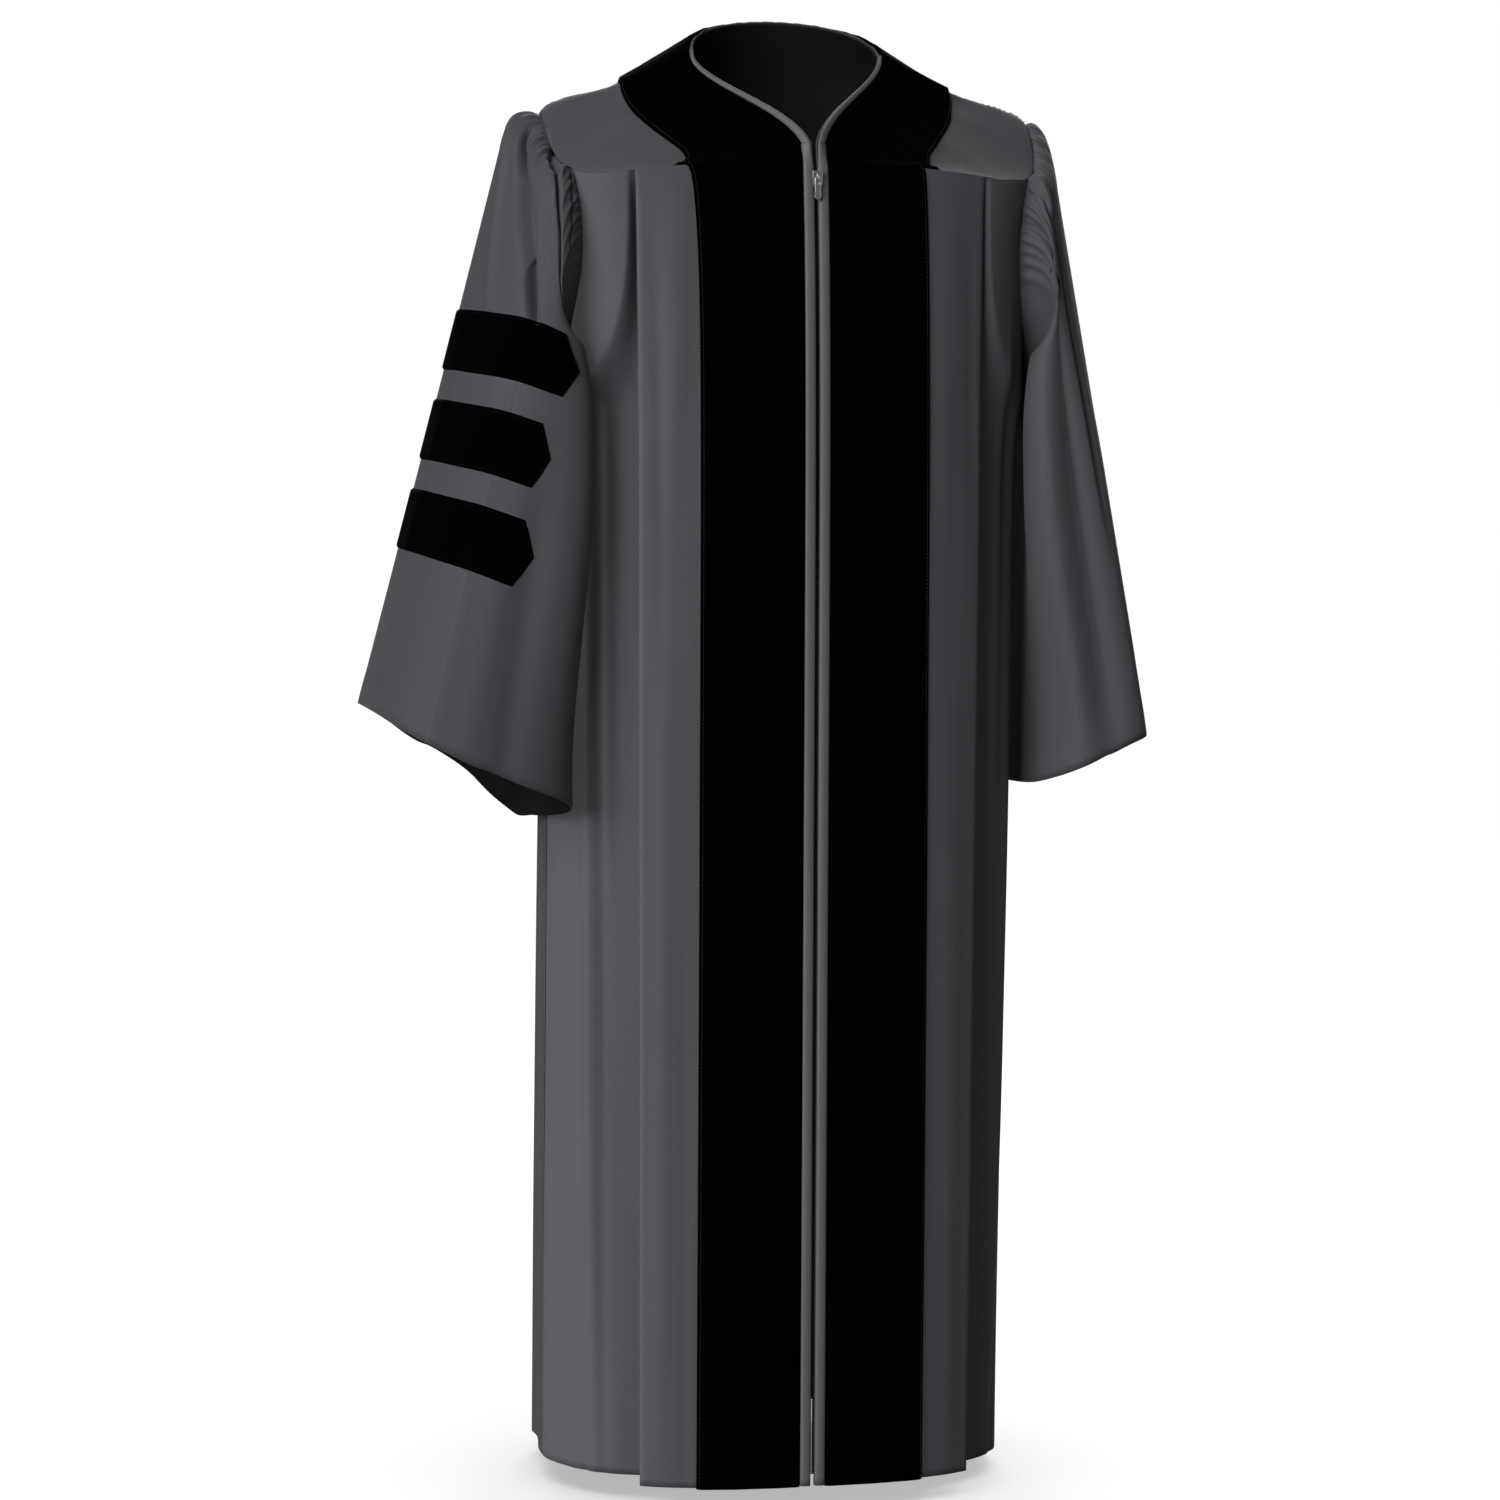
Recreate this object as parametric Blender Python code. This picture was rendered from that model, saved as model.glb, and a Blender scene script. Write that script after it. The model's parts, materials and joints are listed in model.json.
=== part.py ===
"""A doctoral graduation gown, worn and hanging open at neck, cuffs and hem.

Every panel is a thin wall lofted on one body form or on one sleeve form, so that
neighbours meet edge to edge. The origin is the middle of the neck opening,
X points to the wearer's left, the front faces -Y and Z is up.
"""

import math

import bmesh
import bpy
import numpy as np

# Driving sizes, metres
CLOTH = 0.0016
VELVET = 0.0020
SEAM_GAP = 0.0003
STACK = 0.0030
HEM_Z = -1.311
ZIP_END_Z = -1.220
FRONT_GAP = 0.0018
PIPING_WIDTH = 0.0100
PIPING_HEIGHT = 0.0042
VELVET_EDGE = 0.1070
PLEAT_EDGE = (0.1640, 0.1560)
PLEAT_RETURN = 0.0300
ARMHOLE_TURN = 63.0
SLIDER_MIDDLE = (0.0, -0.1158, -0.1170)
PULL_AXIS = (0.0, -0.1258, -0.1170)

# Body rings from the neck down: half widths and depths, heights at front, side and
# back, and how square and how steep each ring is
BODY_COLUMNS = (
    "half_width", "front_depth", "back_depth", "front_z", "side_z", "back_z",
    "sin_power", "cos_power", "back_power", "front_rise", "back_rise", "dip", "drop",
)
BODY_ROWS = (
    ("neck", 0.088, 0.114, 0.056, -0.103, 0.000, 0.033, 2.30, 2.00, 1.00, 0.85, 2.0, 0.0, 0.0),
    ("shoulder", 0.160, 0.1145, 0.096, -0.104, -0.032, -0.026, 1.25, 1.10, 0.85, 2.2, 2.4, 0.0, 0.004),
    ("yoke", 0.231, 0.115, 0.124, -0.104, -0.060, -0.127, 0.62, 0.62, 0.62, 6.5, 6.5, 0.013, 0.010),
    ("chest", 0.2225, 0.125, 0.148, -0.195, -0.195, -0.195, 0.66, 0.66, 0.66, 1.0, 1.0, 0.0, 0.0),
    ("underarm", 0.2195, 0.134, 0.158, -0.322, -0.322, -0.322, 0.68, 0.68, 0.68, 1.0, 1.0, 0.0, 0.0),
    ("waist", 0.2195, 0.142, 0.166, -0.536, -0.536, -0.536, 0.68, 0.68, 0.68, 1.0, 1.0, 0.0, 0.0),
    ("hip", 0.2200, 0.149, 0.174, -0.780, -0.780, -0.780, 0.68, 0.68, 0.68, 1.0, 1.0, 0.0, 0.0),
    ("knee", 0.2200, 0.157, 0.182, -1.053, -1.053, -1.053, 0.70, 0.70, 0.70, 1.0, 1.0, 0.0, 0.0),
    ("hem", 0.2190, 0.164, 0.188, HEM_Z, HEM_Z, HEM_Z, 0.72, 0.72, 0.72, 1.0, 1.0, 0.0, 0.0),
)
YOKE = 2.0
UNDERARM = 4.0
HEM = 8.0

# Sleeve shapes, one row a side: reach, width and depth of the cuff, its slant and lap,
# and how far the head reaches out
SLEEVES = {
    "right": dict(middle=0.3130, half_width=0.0790, front_depth=0.1420, back_depth=0.1380,
                  outer_z=-0.598, inner_z=-0.704, front_lift=0.022, back_drop=0.016, lap=0.034, head=0.0),
    "left": dict(middle=0.2850, half_width=0.0560, front_depth=0.1420, back_depth=0.1300,
                 outer_z=-0.618, inner_z=-0.690, front_lift=0.016, back_drop=0.014, lap=0.010, head=-0.012),
}
# Where the fall of the sleeve starts, seen from the armhole seam: a row a quarter
HEAD_COLUMNS = ("turn", "out", "forth", "down", "round")
HEAD_ROWS = (
    (0.0, 0.036, 0.000, 0.022, 0.022),
    (90.0, 0.026, 0.042, 0.022, 0.030),
    (180.0, 0.015, 0.000, 0.045, 0.030),
    (270.0, 0.030, 0.034, 0.022, 0.030),
)
# Gathers of the sleeve head: turn round the armhole, height and how far each runs
GATHERS = (
    (-96.0, 0.0040, 0.26), (-80.0, 0.0050, 0.34), (-65.0, 0.0042, 0.24),
    (-50.0, 0.0052, 0.38), (-35.0, 0.0042, 0.26), (-20.0, 0.0050, 0.30),
    (-5.0, 0.0044, 0.24), (10.0, 0.0052, 0.36), (24.0, 0.0042, 0.22),
    (38.0, 0.0056, 0.42), (52.0, 0.0044, 0.26), (66.0, 0.0058, 0.44),
    (80.0, 0.0046, 0.30), (95.0, 0.0054, 0.40),
)
GATHER_WIDTH = 4.6
# Large soft flutes of the sleeve: turn, height, start, end and width in degrees
FLUTES = {
    "right": ((40.0, -0.0060, 0.10, 0.62, 9.0), (72.0, -0.0070, 0.08, 0.66, 8.0),
              (112.0, 0.0070, 0.20, 1.10, 15.0), (232.0, -0.0080, 0.30, 1.20, 16.0),
              (290.0, -0.0060, 0.12, 0.80, 12.0)),
    "left": ((30.0, -0.0070, 0.10, 0.70, 9.0), (58.0, 0.0060, 0.25, 1.20, 10.0),
             (84.0, -0.0080, 0.15, 1.20, 11.0), (236.0, -0.0080, 0.30, 1.20, 16.0),
             (300.0, -0.0060, 0.12, 0.80, 12.0)),
}
# Sleeve bars: heights at the outer line, pitch and the turns of back end and front tip
BAR_TOP = -0.239
BAR_SLOPE = 0.120
BAR_HEIGHT = 0.0550
BAR_PITCH = 0.0820
BARS_FALL = 0.363
BARS = {"right": (-96.0, (108.0, 100.0, 100.0)), "left": (-190.0, (12.0, 12.0, 12.0))}
HEAD_END = 0.16
BARS_START = 0.34

# Flutes of the back panel below its yoke: turn, height and width in degrees
BACK_FLUTES = (
    (118.0, 0.009, 7.0), (131.0, 0.010, 5.5), (144.0, 0.009, 5.0), (156.0, 0.011, 5.5),
    (169.0, 0.009, 4.5), (180.0, 0.010, 4.5), (192.0, 0.010, 5.0), (204.0, 0.009, 5.0),
    (217.0, 0.011, 5.5), (229.0, 0.009, 5.0), (242.0, 0.010, 6.5),
)
# Soft folds of the side panels of the front: turn, height, upper and lower level, width
SIDE_FOLDS = {
    "right": ((66.0, 0.0060, 2.6, 8.4, 5.0), (80.0, -0.0050, 4.2, 8.6, 5.5)),
    "left": ((68.0, 0.0055, 2.8, 8.4, 5.5), (81.0, -0.0045, 4.4, 8.6, 5.0)),
}
# Depth by which the side panel sets back behind the pleat at yoke, chest and hem
PLEAT_DEPTH = {"right": (0.0010, 0.008, 0.034), "left": (0.0010, 0.006, 0.022)}

COLOURS = {
    "suiting": ((0.075, 0.074, 0.080, 1.0), 0.62, 0.0),
    "velvet": ((0.004, 0.004, 0.004, 1.0), 0.95, 0.0),
    "bar velvet": ((0.005, 0.006, 0.008, 1.0), 0.95, 0.0),
    "piping": ((0.095, 0.095, 0.098, 1.0), 0.45, 0.0),
    "lining": ((0.010, 0.010, 0.012, 1.0), 0.70, 0.0),
    "tape": ((0.012, 0.012, 0.013, 1.0), 0.80, 0.0),
    "nickel": ((0.60, 0.60, 0.60, 1.0), 0.30, 1.0),
}


def clear_scene():
    for old in list(bpy.data.objects):
        bpy.data.objects.remove(old, do_unlink=True)


def smooth(value):
    value = min(1.0, max(0.0, value))
    return value * value * (3.0 - 2.0 * value)


def bump(distance, width):
    return math.exp(-(distance / width) ** 2)


def span(value, start, end):
    """Rises after start and falls again before end, each over a third."""
    third = (end - start) / 3.0
    return smooth((value - start) / third) * smooth((end - value) / third)


def monotone(values, place):
    """Smooth curve through evenly spaced values without overshoot."""
    last = len(values) - 1
    place = min(max(place, 0.0), float(last))
    low = min(int(place), last - 1)
    steps = np.diff(values)

    def slope(at):
        if at == 0:
            return steps[0]
        if at == last:
            return steps[-1]
        before, after = steps[at - 1], steps[at]
        if before * after <= 0.0:
            return 0.0
        return 2.0 * before * after / (before + after)

    part = place - low
    rise = steps[low]
    start, end = slope(low), slope(low + 1)
    return (values[low] + part * start
            + part ** 2 * (3.0 * rise - 2.0 * start - end)
            + part ** 3 * (start + end - 2.0 * rise))


BODY_TABLE = {
    name: np.array([row[1 + place] for row in BODY_ROWS])
    for place, name in enumerate(BODY_COLUMNS)
}


def body_point(turn, level):
    """Point of the body form: turn 0 is the centre front, 90 the wearer's left."""
    ring = {name: monotone(values, level) for name, values in BODY_TABLE.items()}
    angle = math.radians(turn)
    sine, cosine = math.sin(angle), math.cos(angle)
    away = abs((turn + 180.0) % 360.0 - 180.0)
    if cosine >= 0.0:
        x = ring["half_width"] * abs(sine) ** ring["sin_power"]
        y = -ring["front_depth"] * cosine ** ring["cos_power"]
        rise = (away / 90.0) ** ring["front_rise"]
        z = ring["front_z"] + (ring["side_z"] - ring["front_z"]) * rise
        z -= ring["dip"] * smooth(away / 60.0) * (1.0 - rise)
        z -= ring["drop"] * (1.0 - smooth(away / 16.0))
    else:
        x = ring["half_width"] * abs(sine) ** ring["back_power"]
        y = ring["back_depth"] * abs(cosine) ** ring["back_power"]
        rise = ((180.0 - away) / 90.0) ** ring["back_rise"]
        z = ring["back_z"] + (ring["side_z"] - ring["back_z"]) * rise
    return np.array([math.copysign(x, sine), y, z])


def turn_at(x, level):
    """Turn on the front of the ring at which it is x from the middle."""
    ring_width = monotone(BODY_TABLE["half_width"], level)
    power = monotone(BODY_TABLE["sin_power"], level)
    return math.degrees(math.asin(min(1.0, (x / ring_width)) ** (1.0 / power)))


def armhole_turn(level):
    """Turn of the front edge of the armhole between yoke and underarm."""
    part = min(1.0, max(0.0, (level - YOKE) / (UNDERARM - YOKE)))
    return ARMHOLE_TURN - 2.0 * math.sin(math.pi * part) + (90.0 - ARMHOLE_TURN) * part ** 3.5


def grid_normals(points, closed=False):
    """Unit normals of a grid of points, rows by columns, from its neighbours."""
    down = np.gradient(points, axis=0)
    if closed:
        across = np.roll(points, -1, axis=1) - np.roll(points, 1, axis=1)
    else:
        across = np.gradient(points, axis=1)
    normals = np.cross(down, across)
    return normals / np.linalg.norm(normals, axis=2, keepdims=True)


def finish(name, points, faces, material, smoothed=True):
    mesh = bpy.data.meshes.new(name)
    mesh.from_pydata([tuple(point) for point in points], [], faces)
    mesh.validate()
    mesh.update()
    if smoothed:
        mesh.shade_smooth()
    thing = bpy.data.objects.new(name, mesh)
    collection().objects.link(thing)
    mesh.materials.append(make_material(name, material))
    return thing


def collection():
    found = bpy.data.collections.get("graduation_gown")
    if found is None:
        found = bpy.data.collections.new("graduation_gown")
        bpy.context.scene.collection.children.link(found)
    return found


def make_material(name, kind):
    colour, roughness, metallic = COLOURS[kind]
    material = bpy.data.materials.new(name + " " + kind)
    material.use_nodes = True
    shader = material.node_tree.nodes["Principled BSDF"]
    shader.inputs["Base Color"].default_value = colour
    shader.inputs["Roughness"].default_value = roughness
    shader.inputs["Metallic"].default_value = metallic
    return material


def wall(name, points, normals, thickness, material, closed=False, lift=0.0):
    """Closed wall about a grid of points; lift moves it out along the normals."""
    rows, columns = points.shape[:2]
    outer = points + normals * (lift + thickness / 2.0)
    inner = points + normals * (lift - thickness / 2.0)
    vertices = np.concatenate([outer.reshape(-1, 3), inner.reshape(-1, 3)])
    back = rows * columns
    faces = []
    last = columns if closed else columns - 1
    for row in range(rows - 1):
        for column in range(last):
            after = (column + 1) % columns
            a = row * columns + column
            b = row * columns + after
            c = (row + 1) * columns + after
            d = (row + 1) * columns + column
            across = np.linalg.norm(points[row, column] - points[row + 1, after])
            other = np.linalg.norm(points[row, after] - points[row + 1, column])
            pairs = ((a, d, c), (a, c, b)) if across < other else ((a, d, b), (b, d, c))
            for first, second, third in pairs:
                faces.append((first, second, third))
                faces.append((back + first, back + third, back + second))
    for column in range(last):
        after = (column + 1) % columns
        foot = (rows - 1) * columns
        faces.append((column, after, back + after, back + column))
        faces.append((foot + after, foot + column, back + foot + column, back + foot + after))
    if not closed:
        for row in range(rows - 1):
            a, d = row * columns, (row + 1) * columns
            faces.append((d, a, back + a, back + d))
            b, c = a + columns - 1, d + columns - 1
            faces.append((b, c, back + c, back + b))
    return finish(name, vertices, faces, material)


# Body panels

# Rungs of the yoke from its front seam to the centre back. Columns: turn and level at the
# front edge or neck, turn and level at the edge of the velvet, turn at the border, and the
# width of the piping
RUNGS = (
    (0.0, YOKE, 17.3, YOKE, 63.0, 0.0100),
    (0.0, 0.90, 40.0, 1.25, 70.0, 0.0100),
    (0.0, 0.10, 46.0, 1.14, 75.0, 0.0100),
    (6.0, 0.00, 51.0, 1.09, 79.0, 0.0100),
    (14.0, 0.00, 56.0, 1.05, 83.0, 0.0098),
    (24.0, 0.00, 62.0, 1.02, 87.0, 0.0092),
    (36.0, 0.00, 69.0, 1.00, 90.0, 0.0082),
    (50.0, 0.00, 76.0, 0.985, 94.0, 0.0068),
    (70.0, 0.00, 84.0, 0.97, 98.0, 0.0052),
    (90.0, 0.00, 95.0, 0.95, 104.0, 0.0036),
    (112.0, 0.00, 112.0, 0.91, 117.0, 0.0016),
    (133.0, 0.00, 133.0, 0.86, 134.0, 0.0016),
    (150.0, 0.00, 150.0, 0.83, 150.0, 0.0016),
    (165.0, 0.00, 165.0, 0.81, 165.0, 0.0016),
    (180.0, 0.00, 180.0, 0.80, 180.0, 0.0016),
)
PIPED_RUNGS = 10
BAND_PARTS = (0.0, 1.0 / 3.0, 2.0 / 3.0, 1.0)
BORDER_PARTS = (0.22, 0.48, 0.74, 1.0)
FRONT_LEVELS = (YOKE, 2.25, 2.6, 3.0, 3.35, 3.6, 3.8, 3.92, UNDERARM, 4.5, 5.0, 5.6, 6.2, 6.8, 7.4, HEM)


def band_nodes(path, piping):
    """Edge, piping edge and velvet nodes along a fine line of body points."""
    lengths = np.concatenate([[0.0], np.cumsum(np.linalg.norm(np.diff(path, axis=0), axis=1))])
    places = [0.0] + [piping + (lengths[-1] - piping) * part for part in BAND_PARTS]
    return [[np.interp(place, lengths, path[:, axis]) for axis in range(3)] for place in places]


def yoke_half():
    """Nodes of the wearer's left half of the yoke: rows from the neck outwards."""
    columns = []
    for inner, inner_level, outer, outer_level, border, piping in RUNGS:
        inner = max(inner, turn_at(FRONT_GAP, inner_level))
        parts = BORDER_PARTS
        if inner_level == YOKE:
            outer = turn_at(VELVET_EDGE, YOKE)
            fold = turn_at(pleat_edge(YOKE) - 0.003, YOKE)
            parts = ((fold - outer) / (border - outer), 0.62, 0.82, 1.0)
        fine = np.linspace(0.0, 1.0, 33)
        path = np.array([
            body_point(inner + (outer - inner) * t, inner_level + (outer_level - inner_level) * t)
            for t in fine
        ])
        column = band_nodes(path, piping)
        for part in parts:
            turn = outer + (border - outer) * part
            level = outer_level + (YOKE - outer_level) * part
            column.append(body_point(turn, level))
        columns.append(column)
    return np.array(columns).transpose(1, 0, 2)


def level_normals(line):
    """Normals of a seam line, pressed level so that both edges meet squarely."""
    along = np.gradient(line, axis=0)
    normals = np.stack([-along[:, 1], along[:, 0], np.zeros(len(line))], axis=1)
    normals *= np.where(normals[:, 1:2] > 0.0, -1.0, 1.0)
    return normals / np.linalg.norm(normals, axis=1, keepdims=True)


def yoke_grid():
    """Whole yoke, its seam edges drawn back by the seam gap, with normals."""
    half = yoke_half()
    half[:, 0, 2] += SEAM_GAP
    mirrored = half[:, -2::-1].copy()
    mirrored[..., 0] *= -1.0
    points = np.concatenate([half, mirrored], axis=1)
    normals = grid_normals(points)
    for column in (0, -1):
        normals[:, column] = level_normals(points[:, column])
    return points, normals


def ring_ruler(level):
    """Turns and lengths round a quarter of a ring from the centre front."""
    turns = np.linspace(0.0, 90.0, 181)
    line = np.array([body_point(turn, level) for turn in turns])
    steps = np.linalg.norm(np.diff(line, axis=0), axis=1)
    return turns, np.concatenate([[0.0], np.cumsum(steps)])


def pleat_depth(side, level):
    yoke, chest, hem = PLEAT_DEPTH[side]
    part = (level - YOKE) / (HEM - YOKE)
    if part < 0.2:
        return yoke + (chest - yoke) * part / 0.2
    return chest + (hem - chest) * (part - 0.2) / 0.8


def pleat_edge(level):
    top, foot = PLEAT_EDGE
    return top + (foot - top) * (level - YOKE) / (HEM - YOKE)


def outward_at(turn, level):
    flat = body_point(turn + 0.5, level) - body_point(turn - 0.5, level)
    outward = np.array([flat[1], -flat[0], 0.0])
    return outward / np.linalg.norm(outward)


def front_grid(side):
    """Nodes and normals of a front on the wearer's left, pleat and folds included."""
    points = []
    seam = yoke_half()[:, 0]
    for level in FRONT_LEVELS:
        turns, lengths = ring_ruler(level)
        fold = float(np.interp(turn_at(pleat_edge(level), level), turns, lengths))
        end_turn = armhole_turn(level) if level < UNDERARM else 90.0
        end = float(np.interp(end_turn, turns, lengths)) - SEAM_GAP
        edge = turn_at(FRONT_GAP, level)
        band_end = turn_at(VELVET_EDGE, level)
        path = np.array([body_point(t, level) for t in np.linspace(edge, band_end, 33)])
        line = [np.array(node) for node in band_nodes(path, PIPING_WIDTH)]
        if level == YOKE:
            line = [node - np.array([0.0, 0.0, SEAM_GAP]) for node in seam[:5]]
        depth = pleat_depth(side, level)
        inner = fold - PLEAT_RETURN
        drop = STACK * 2.0 + depth
        places = [(fold - 0.003, 0.0), (fold, -STACK / 2.0), (fold - 0.003, -STACK)]
        places += [(inner + 0.003, -STACK * 1.1 - 0.35 * depth)]
        places += [(inner, -STACK * 1.6 - 0.42 * depth)]
        places += [(inner + 0.003, -STACK * 2.1 - 0.50 * depth)]
        places += [(fold - 0.004, -drop - STACK * 0.1)]
        for part in (0.12, 0.26, 0.42, 0.60, 0.80, 1.0):
            places.append((fold + (end - fold) * part, -drop * (1.0 - smooth(part))))
        for along, below in places:
            turn = float(np.interp(along, lengths, turns))
            swell = 0.0
            for at, height, top, foot, width in SIDE_FOLDS[side]:
                if along > fold:
                    swell += height * bump(turn - at, width) * span(level, top, foot)
            node = body_point(turn, level)
            if level == YOKE:
                place = min(node[0], seam[-1, 0])
                node = np.array([np.interp(place, seam[:, 0], seam[:, axis]) for axis in range(3)])
                node[2] -= SEAM_GAP if below == 0.0 else 0.0016
            node = node + outward_at(turn, level) * (below + swell)
            line.append(node)
        points.append(line)
    points = np.array(points)
    normals = grid_normals(points)
    normals[0, :6] = level_normals(seam[:7])[:6]
    return points, normals


def mirror(side, points, normals):
    """Turns a grid made for the wearer's left into one for the named side."""
    if side == "left":
        return points, normals
    flip = np.array([-1.0, 1.0, 1.0])
    return (points * flip)[:, ::-1], (normals * flip)[:, ::-1]


def make_yoke():
    """One piece over both shoulders, from front seam round the back neck."""
    points, normals = yoke_grid()
    wall("yoke", points, normals, CLOTH, "suiting")


def make_front(side):
    """A front from the zip to the side seam with its knife pleat."""
    points, normals = mirror(side, *front_grid(side))
    wall("front_" + side, points, normals, CLOTH, "suiting")


def back_offset(turn, level):
    """Soft flutes of the back that start at the yoke and deepen to the hem."""
    part = (level - YOKE) / (HEM - YOKE)
    grow = smooth(part / 0.25) * (0.35 + 0.65 * part)
    total = 0.0
    for place, height, width in BACK_FLUTES:
        total += height * bump(turn - place, width)
    return (total - 0.004) * grow


def make_back():
    """Back from the yoke seam to the hem, its top edge along the yoke's own nodes."""
    levels = [YOKE, 2.3, 2.65, 3.0, 3.35, 3.6, 3.8, 3.92, UNDERARM, 4.6, 5.2, 6.0, 6.8, 7.4, HEM]
    borders = [row[4] for row in RUNGS if row[4] >= 117.0]
    borders += [360.0 - border for border in borders[-2::-1]]
    seam = np.array([body_point(border, YOKE) for border in borders])
    points = []
    for level in levels:
        first = 180.0 - armhole_turn(level) if level < UNDERARM else 90.0
        first += 0.10
        line = []
        for part in np.linspace(0.0, 1.0, 49):
            turn = first + (360.0 - 2.0 * first) * part
            if level == YOKE:
                place = min(max(turn, borders[0]), borders[-1])
                node = np.array([np.interp(place, borders, seam[:, axis]) for axis in range(3)])
                line.append(node - np.array([0.0, 0.0, SEAM_GAP * 2.0]))
                continue
            ease = smooth((turn - first) / 12.0) * smooth((360.0 - first - turn) / 12.0)
            swell = back_offset(turn, level) * ease
            line.append(body_point(turn, level) + outward_at(turn, level) * swell)
        points.append(line)
    points = np.array(points)
    wall("back", points, grid_normals(points), CLOTH, "suiting")


# Velvet bands, piping, lining and zip

def band_grid(side):
    """Nodes and normals under a velvet band and its piping, centre back to hem."""
    yoke, yoke_normals = yoke_grid()
    count = len(RUNGS)
    front, front_normals = front_grid(side)
    points = np.concatenate([yoke[:5, :count].transpose(1, 0, 2)[::-1], front[:, :5]])
    normals = np.concatenate([
        yoke_normals[:5, :count].transpose(1, 0, 2)[::-1], front_normals[:, :5]])
    return points, normals


def make_band(side):
    """Velvet over a front, up beside the neck and round to the centre back."""
    points, normals = band_grid(side)
    points, normals = points[:, 1:].copy(), normals[:, 1:]
    shift = points[:, 1] - points[:, 0]
    shift /= np.linalg.norm(shift, axis=1, keepdims=True)
    points[:, 0] += shift * SEAM_GAP
    points[0, :, 0] += SEAM_GAP
    lift = CLOTH / 2.0 + SEAM_GAP + VELVET / 2.0
    points, normals = mirror(side, points, normals)
    wall("velvet_" + side, points, normals, VELVET, "velvet", lift=lift)


def make_piping(side):
    """Rolled edge from the hem to the shoulder beside the zip and the neck."""
    points, normals = band_grid(side)
    skipped = len(RUNGS) - PIPED_RUNGS
    points, normals = points[skipped:], normals[skipped:]
    profile = ((0.0, 0.0), (0.0, 0.45), (0.22, 0.9), (0.5, 1.0), (0.78, 0.9), (1.0, 0.45), (1.0, 0.0))
    flip = np.array([-1.0 if side == "right" else 1.0, 1.0, 1.0])
    corners = len(profile)
    rings = []
    for node, normal in zip(points, normals):
        width = np.linalg.norm(node[1] - node[0])
        inset = (node[1] - node[0]) * SEAM_GAP / width
        ends = (node[0] + inset, node[1] - inset)
        thick = PIPING_HEIGHT * (0.45 + 0.55 * min(1.0, width / PIPING_WIDTH))
        ring = []
        for part, high in profile:
            base = ends[0] + (ends[1] - ends[0]) * part
            up = normal[0] + (normal[1] - normal[0]) * part
            ring.append((base + up * (CLOTH / 2.0 + SEAM_GAP + thick * high)) * flip)
        rings.append(ring)
    vertices = [corner for ring in rings for corner in ring]
    faces = []
    for row in range(len(rings) - 1):
        across = np.linalg.norm(points[row, 0] - points[row + 1, 1])
        other = np.linalg.norm(points[row, 1] - points[row + 1, 0])
        for corner in range(corners):
            a, b = row * corners + corner, row * corners + (corner + 1) % corners
            c, d = b + corners, a + corners
            if corner < corners - 1 or across < other:
                faces += [(a, b, d), (b, c, d)]
            else:
                faces += [(a, b, c), (a, c, d)]
    faces.append(tuple(range(corners - 1, -1, -1)))
    faces.append(tuple((len(rings) - 1) * corners + corner for corner in range(corners)))
    if side == "left":
        faces = [face[::-1] for face in faces]
    finish("piping_" + side, vertices, faces, "piping")


def make_neck_lining():
    """Smooth dark lining inside the back of the neck and the back yoke."""
    points, normals = yoke_grid()
    first = 8
    points, normals = points[:, first:-first], normals[:, first:-first]
    lift = -(CLOTH + SEAM_GAP)
    wall("neck_lining", points, normals, CLOTH * 0.8, "lining", lift=lift)


def centre_front(z):
    """Point and forward slope of the front form at the zip line."""
    level = float(np.interp(-z, [-row[4] for row in BODY_ROWS[2:]], range(2, 9)))
    return body_point(0.0, level) if z < BODY_ROWS[2][4] else np.array([0.0, body_point(0.0, 1.0)[1], z])


def zip_line():
    heights = list(np.linspace(-0.1160, ZIP_END_Z, 12))
    return [centre_front(z) for z in heights]


def make_zip():
    """Tapes and plain chain under the meeting front edges, with slider and pull."""
    line = np.array(zip_line())
    for side, sign in (("right", -1.0), ("left", 1.0)):
        columns = []
        for x in (0.0006, 0.0070, 0.0135):
            column = line.copy()
            column[:, 0] = x
            columns.append(column)
        points = np.array(columns).transpose(1, 0, 2)
        normals = grid_normals(points)
        points, normals = mirror(side, points, normals)
        lift = -(CLOTH / 2.0 + SEAM_GAP * 3.0 + 0.0004)
        wall("zip_tape_" + side, points, normals, 0.0008, "tape", lift=lift)
    columns = []
    for x in (-0.0014, 0.0014):
        column = line.copy()
        column[:, 0] = x
        columns.append(column)
    points = np.array(columns).transpose(1, 0, 2)
    wall("zip_chain", points, grid_normals(points), 0.0014, "tape", lift=0.0)


# Sleeves and bars

def armhole_loop():
    """Edge of the armhole from the shoulder over front, underarm and back."""
    front = [(turn, YOKE) for turn in np.linspace(90.0, ARMHOLE_TURN, 14)]
    front += [(armhole_turn(level), level) for level in np.linspace(YOKE, UNDERARM, 26)[1:]]
    front[-1] = (90.0, UNDERARM)
    loop = front + [(180.0 - turn, level) for turn, level in front[-2:0:-1]]
    points = np.array([body_point(turn, level) for turn, level in loop])
    points = np.concatenate([points, points[:1]])
    lengths = np.concatenate([[0.0], np.cumsum(np.linalg.norm(np.diff(points, axis=0), axis=1))])
    return points, lengths / lengths[-1]


LOOP_POINTS, LOOP_PARTS = armhole_loop()
LOOP_MIDDLE = LOOP_POINTS[:-1].mean(axis=0)


def armhole_point(turn):
    """Point just inside the armhole edge and the way out of the hole there."""
    part = (turn / 360.0) % 1.0
    here = np.array([np.interp(part, LOOP_PARTS, LOOP_POINTS[:, axis]) for axis in range(3)])
    radial = here - LOOP_MIDDLE
    radial[0] = 0.0
    radial /= np.linalg.norm(radial)
    return here - radial * (CLOTH / 2.0 + 0.0050), radial


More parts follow.
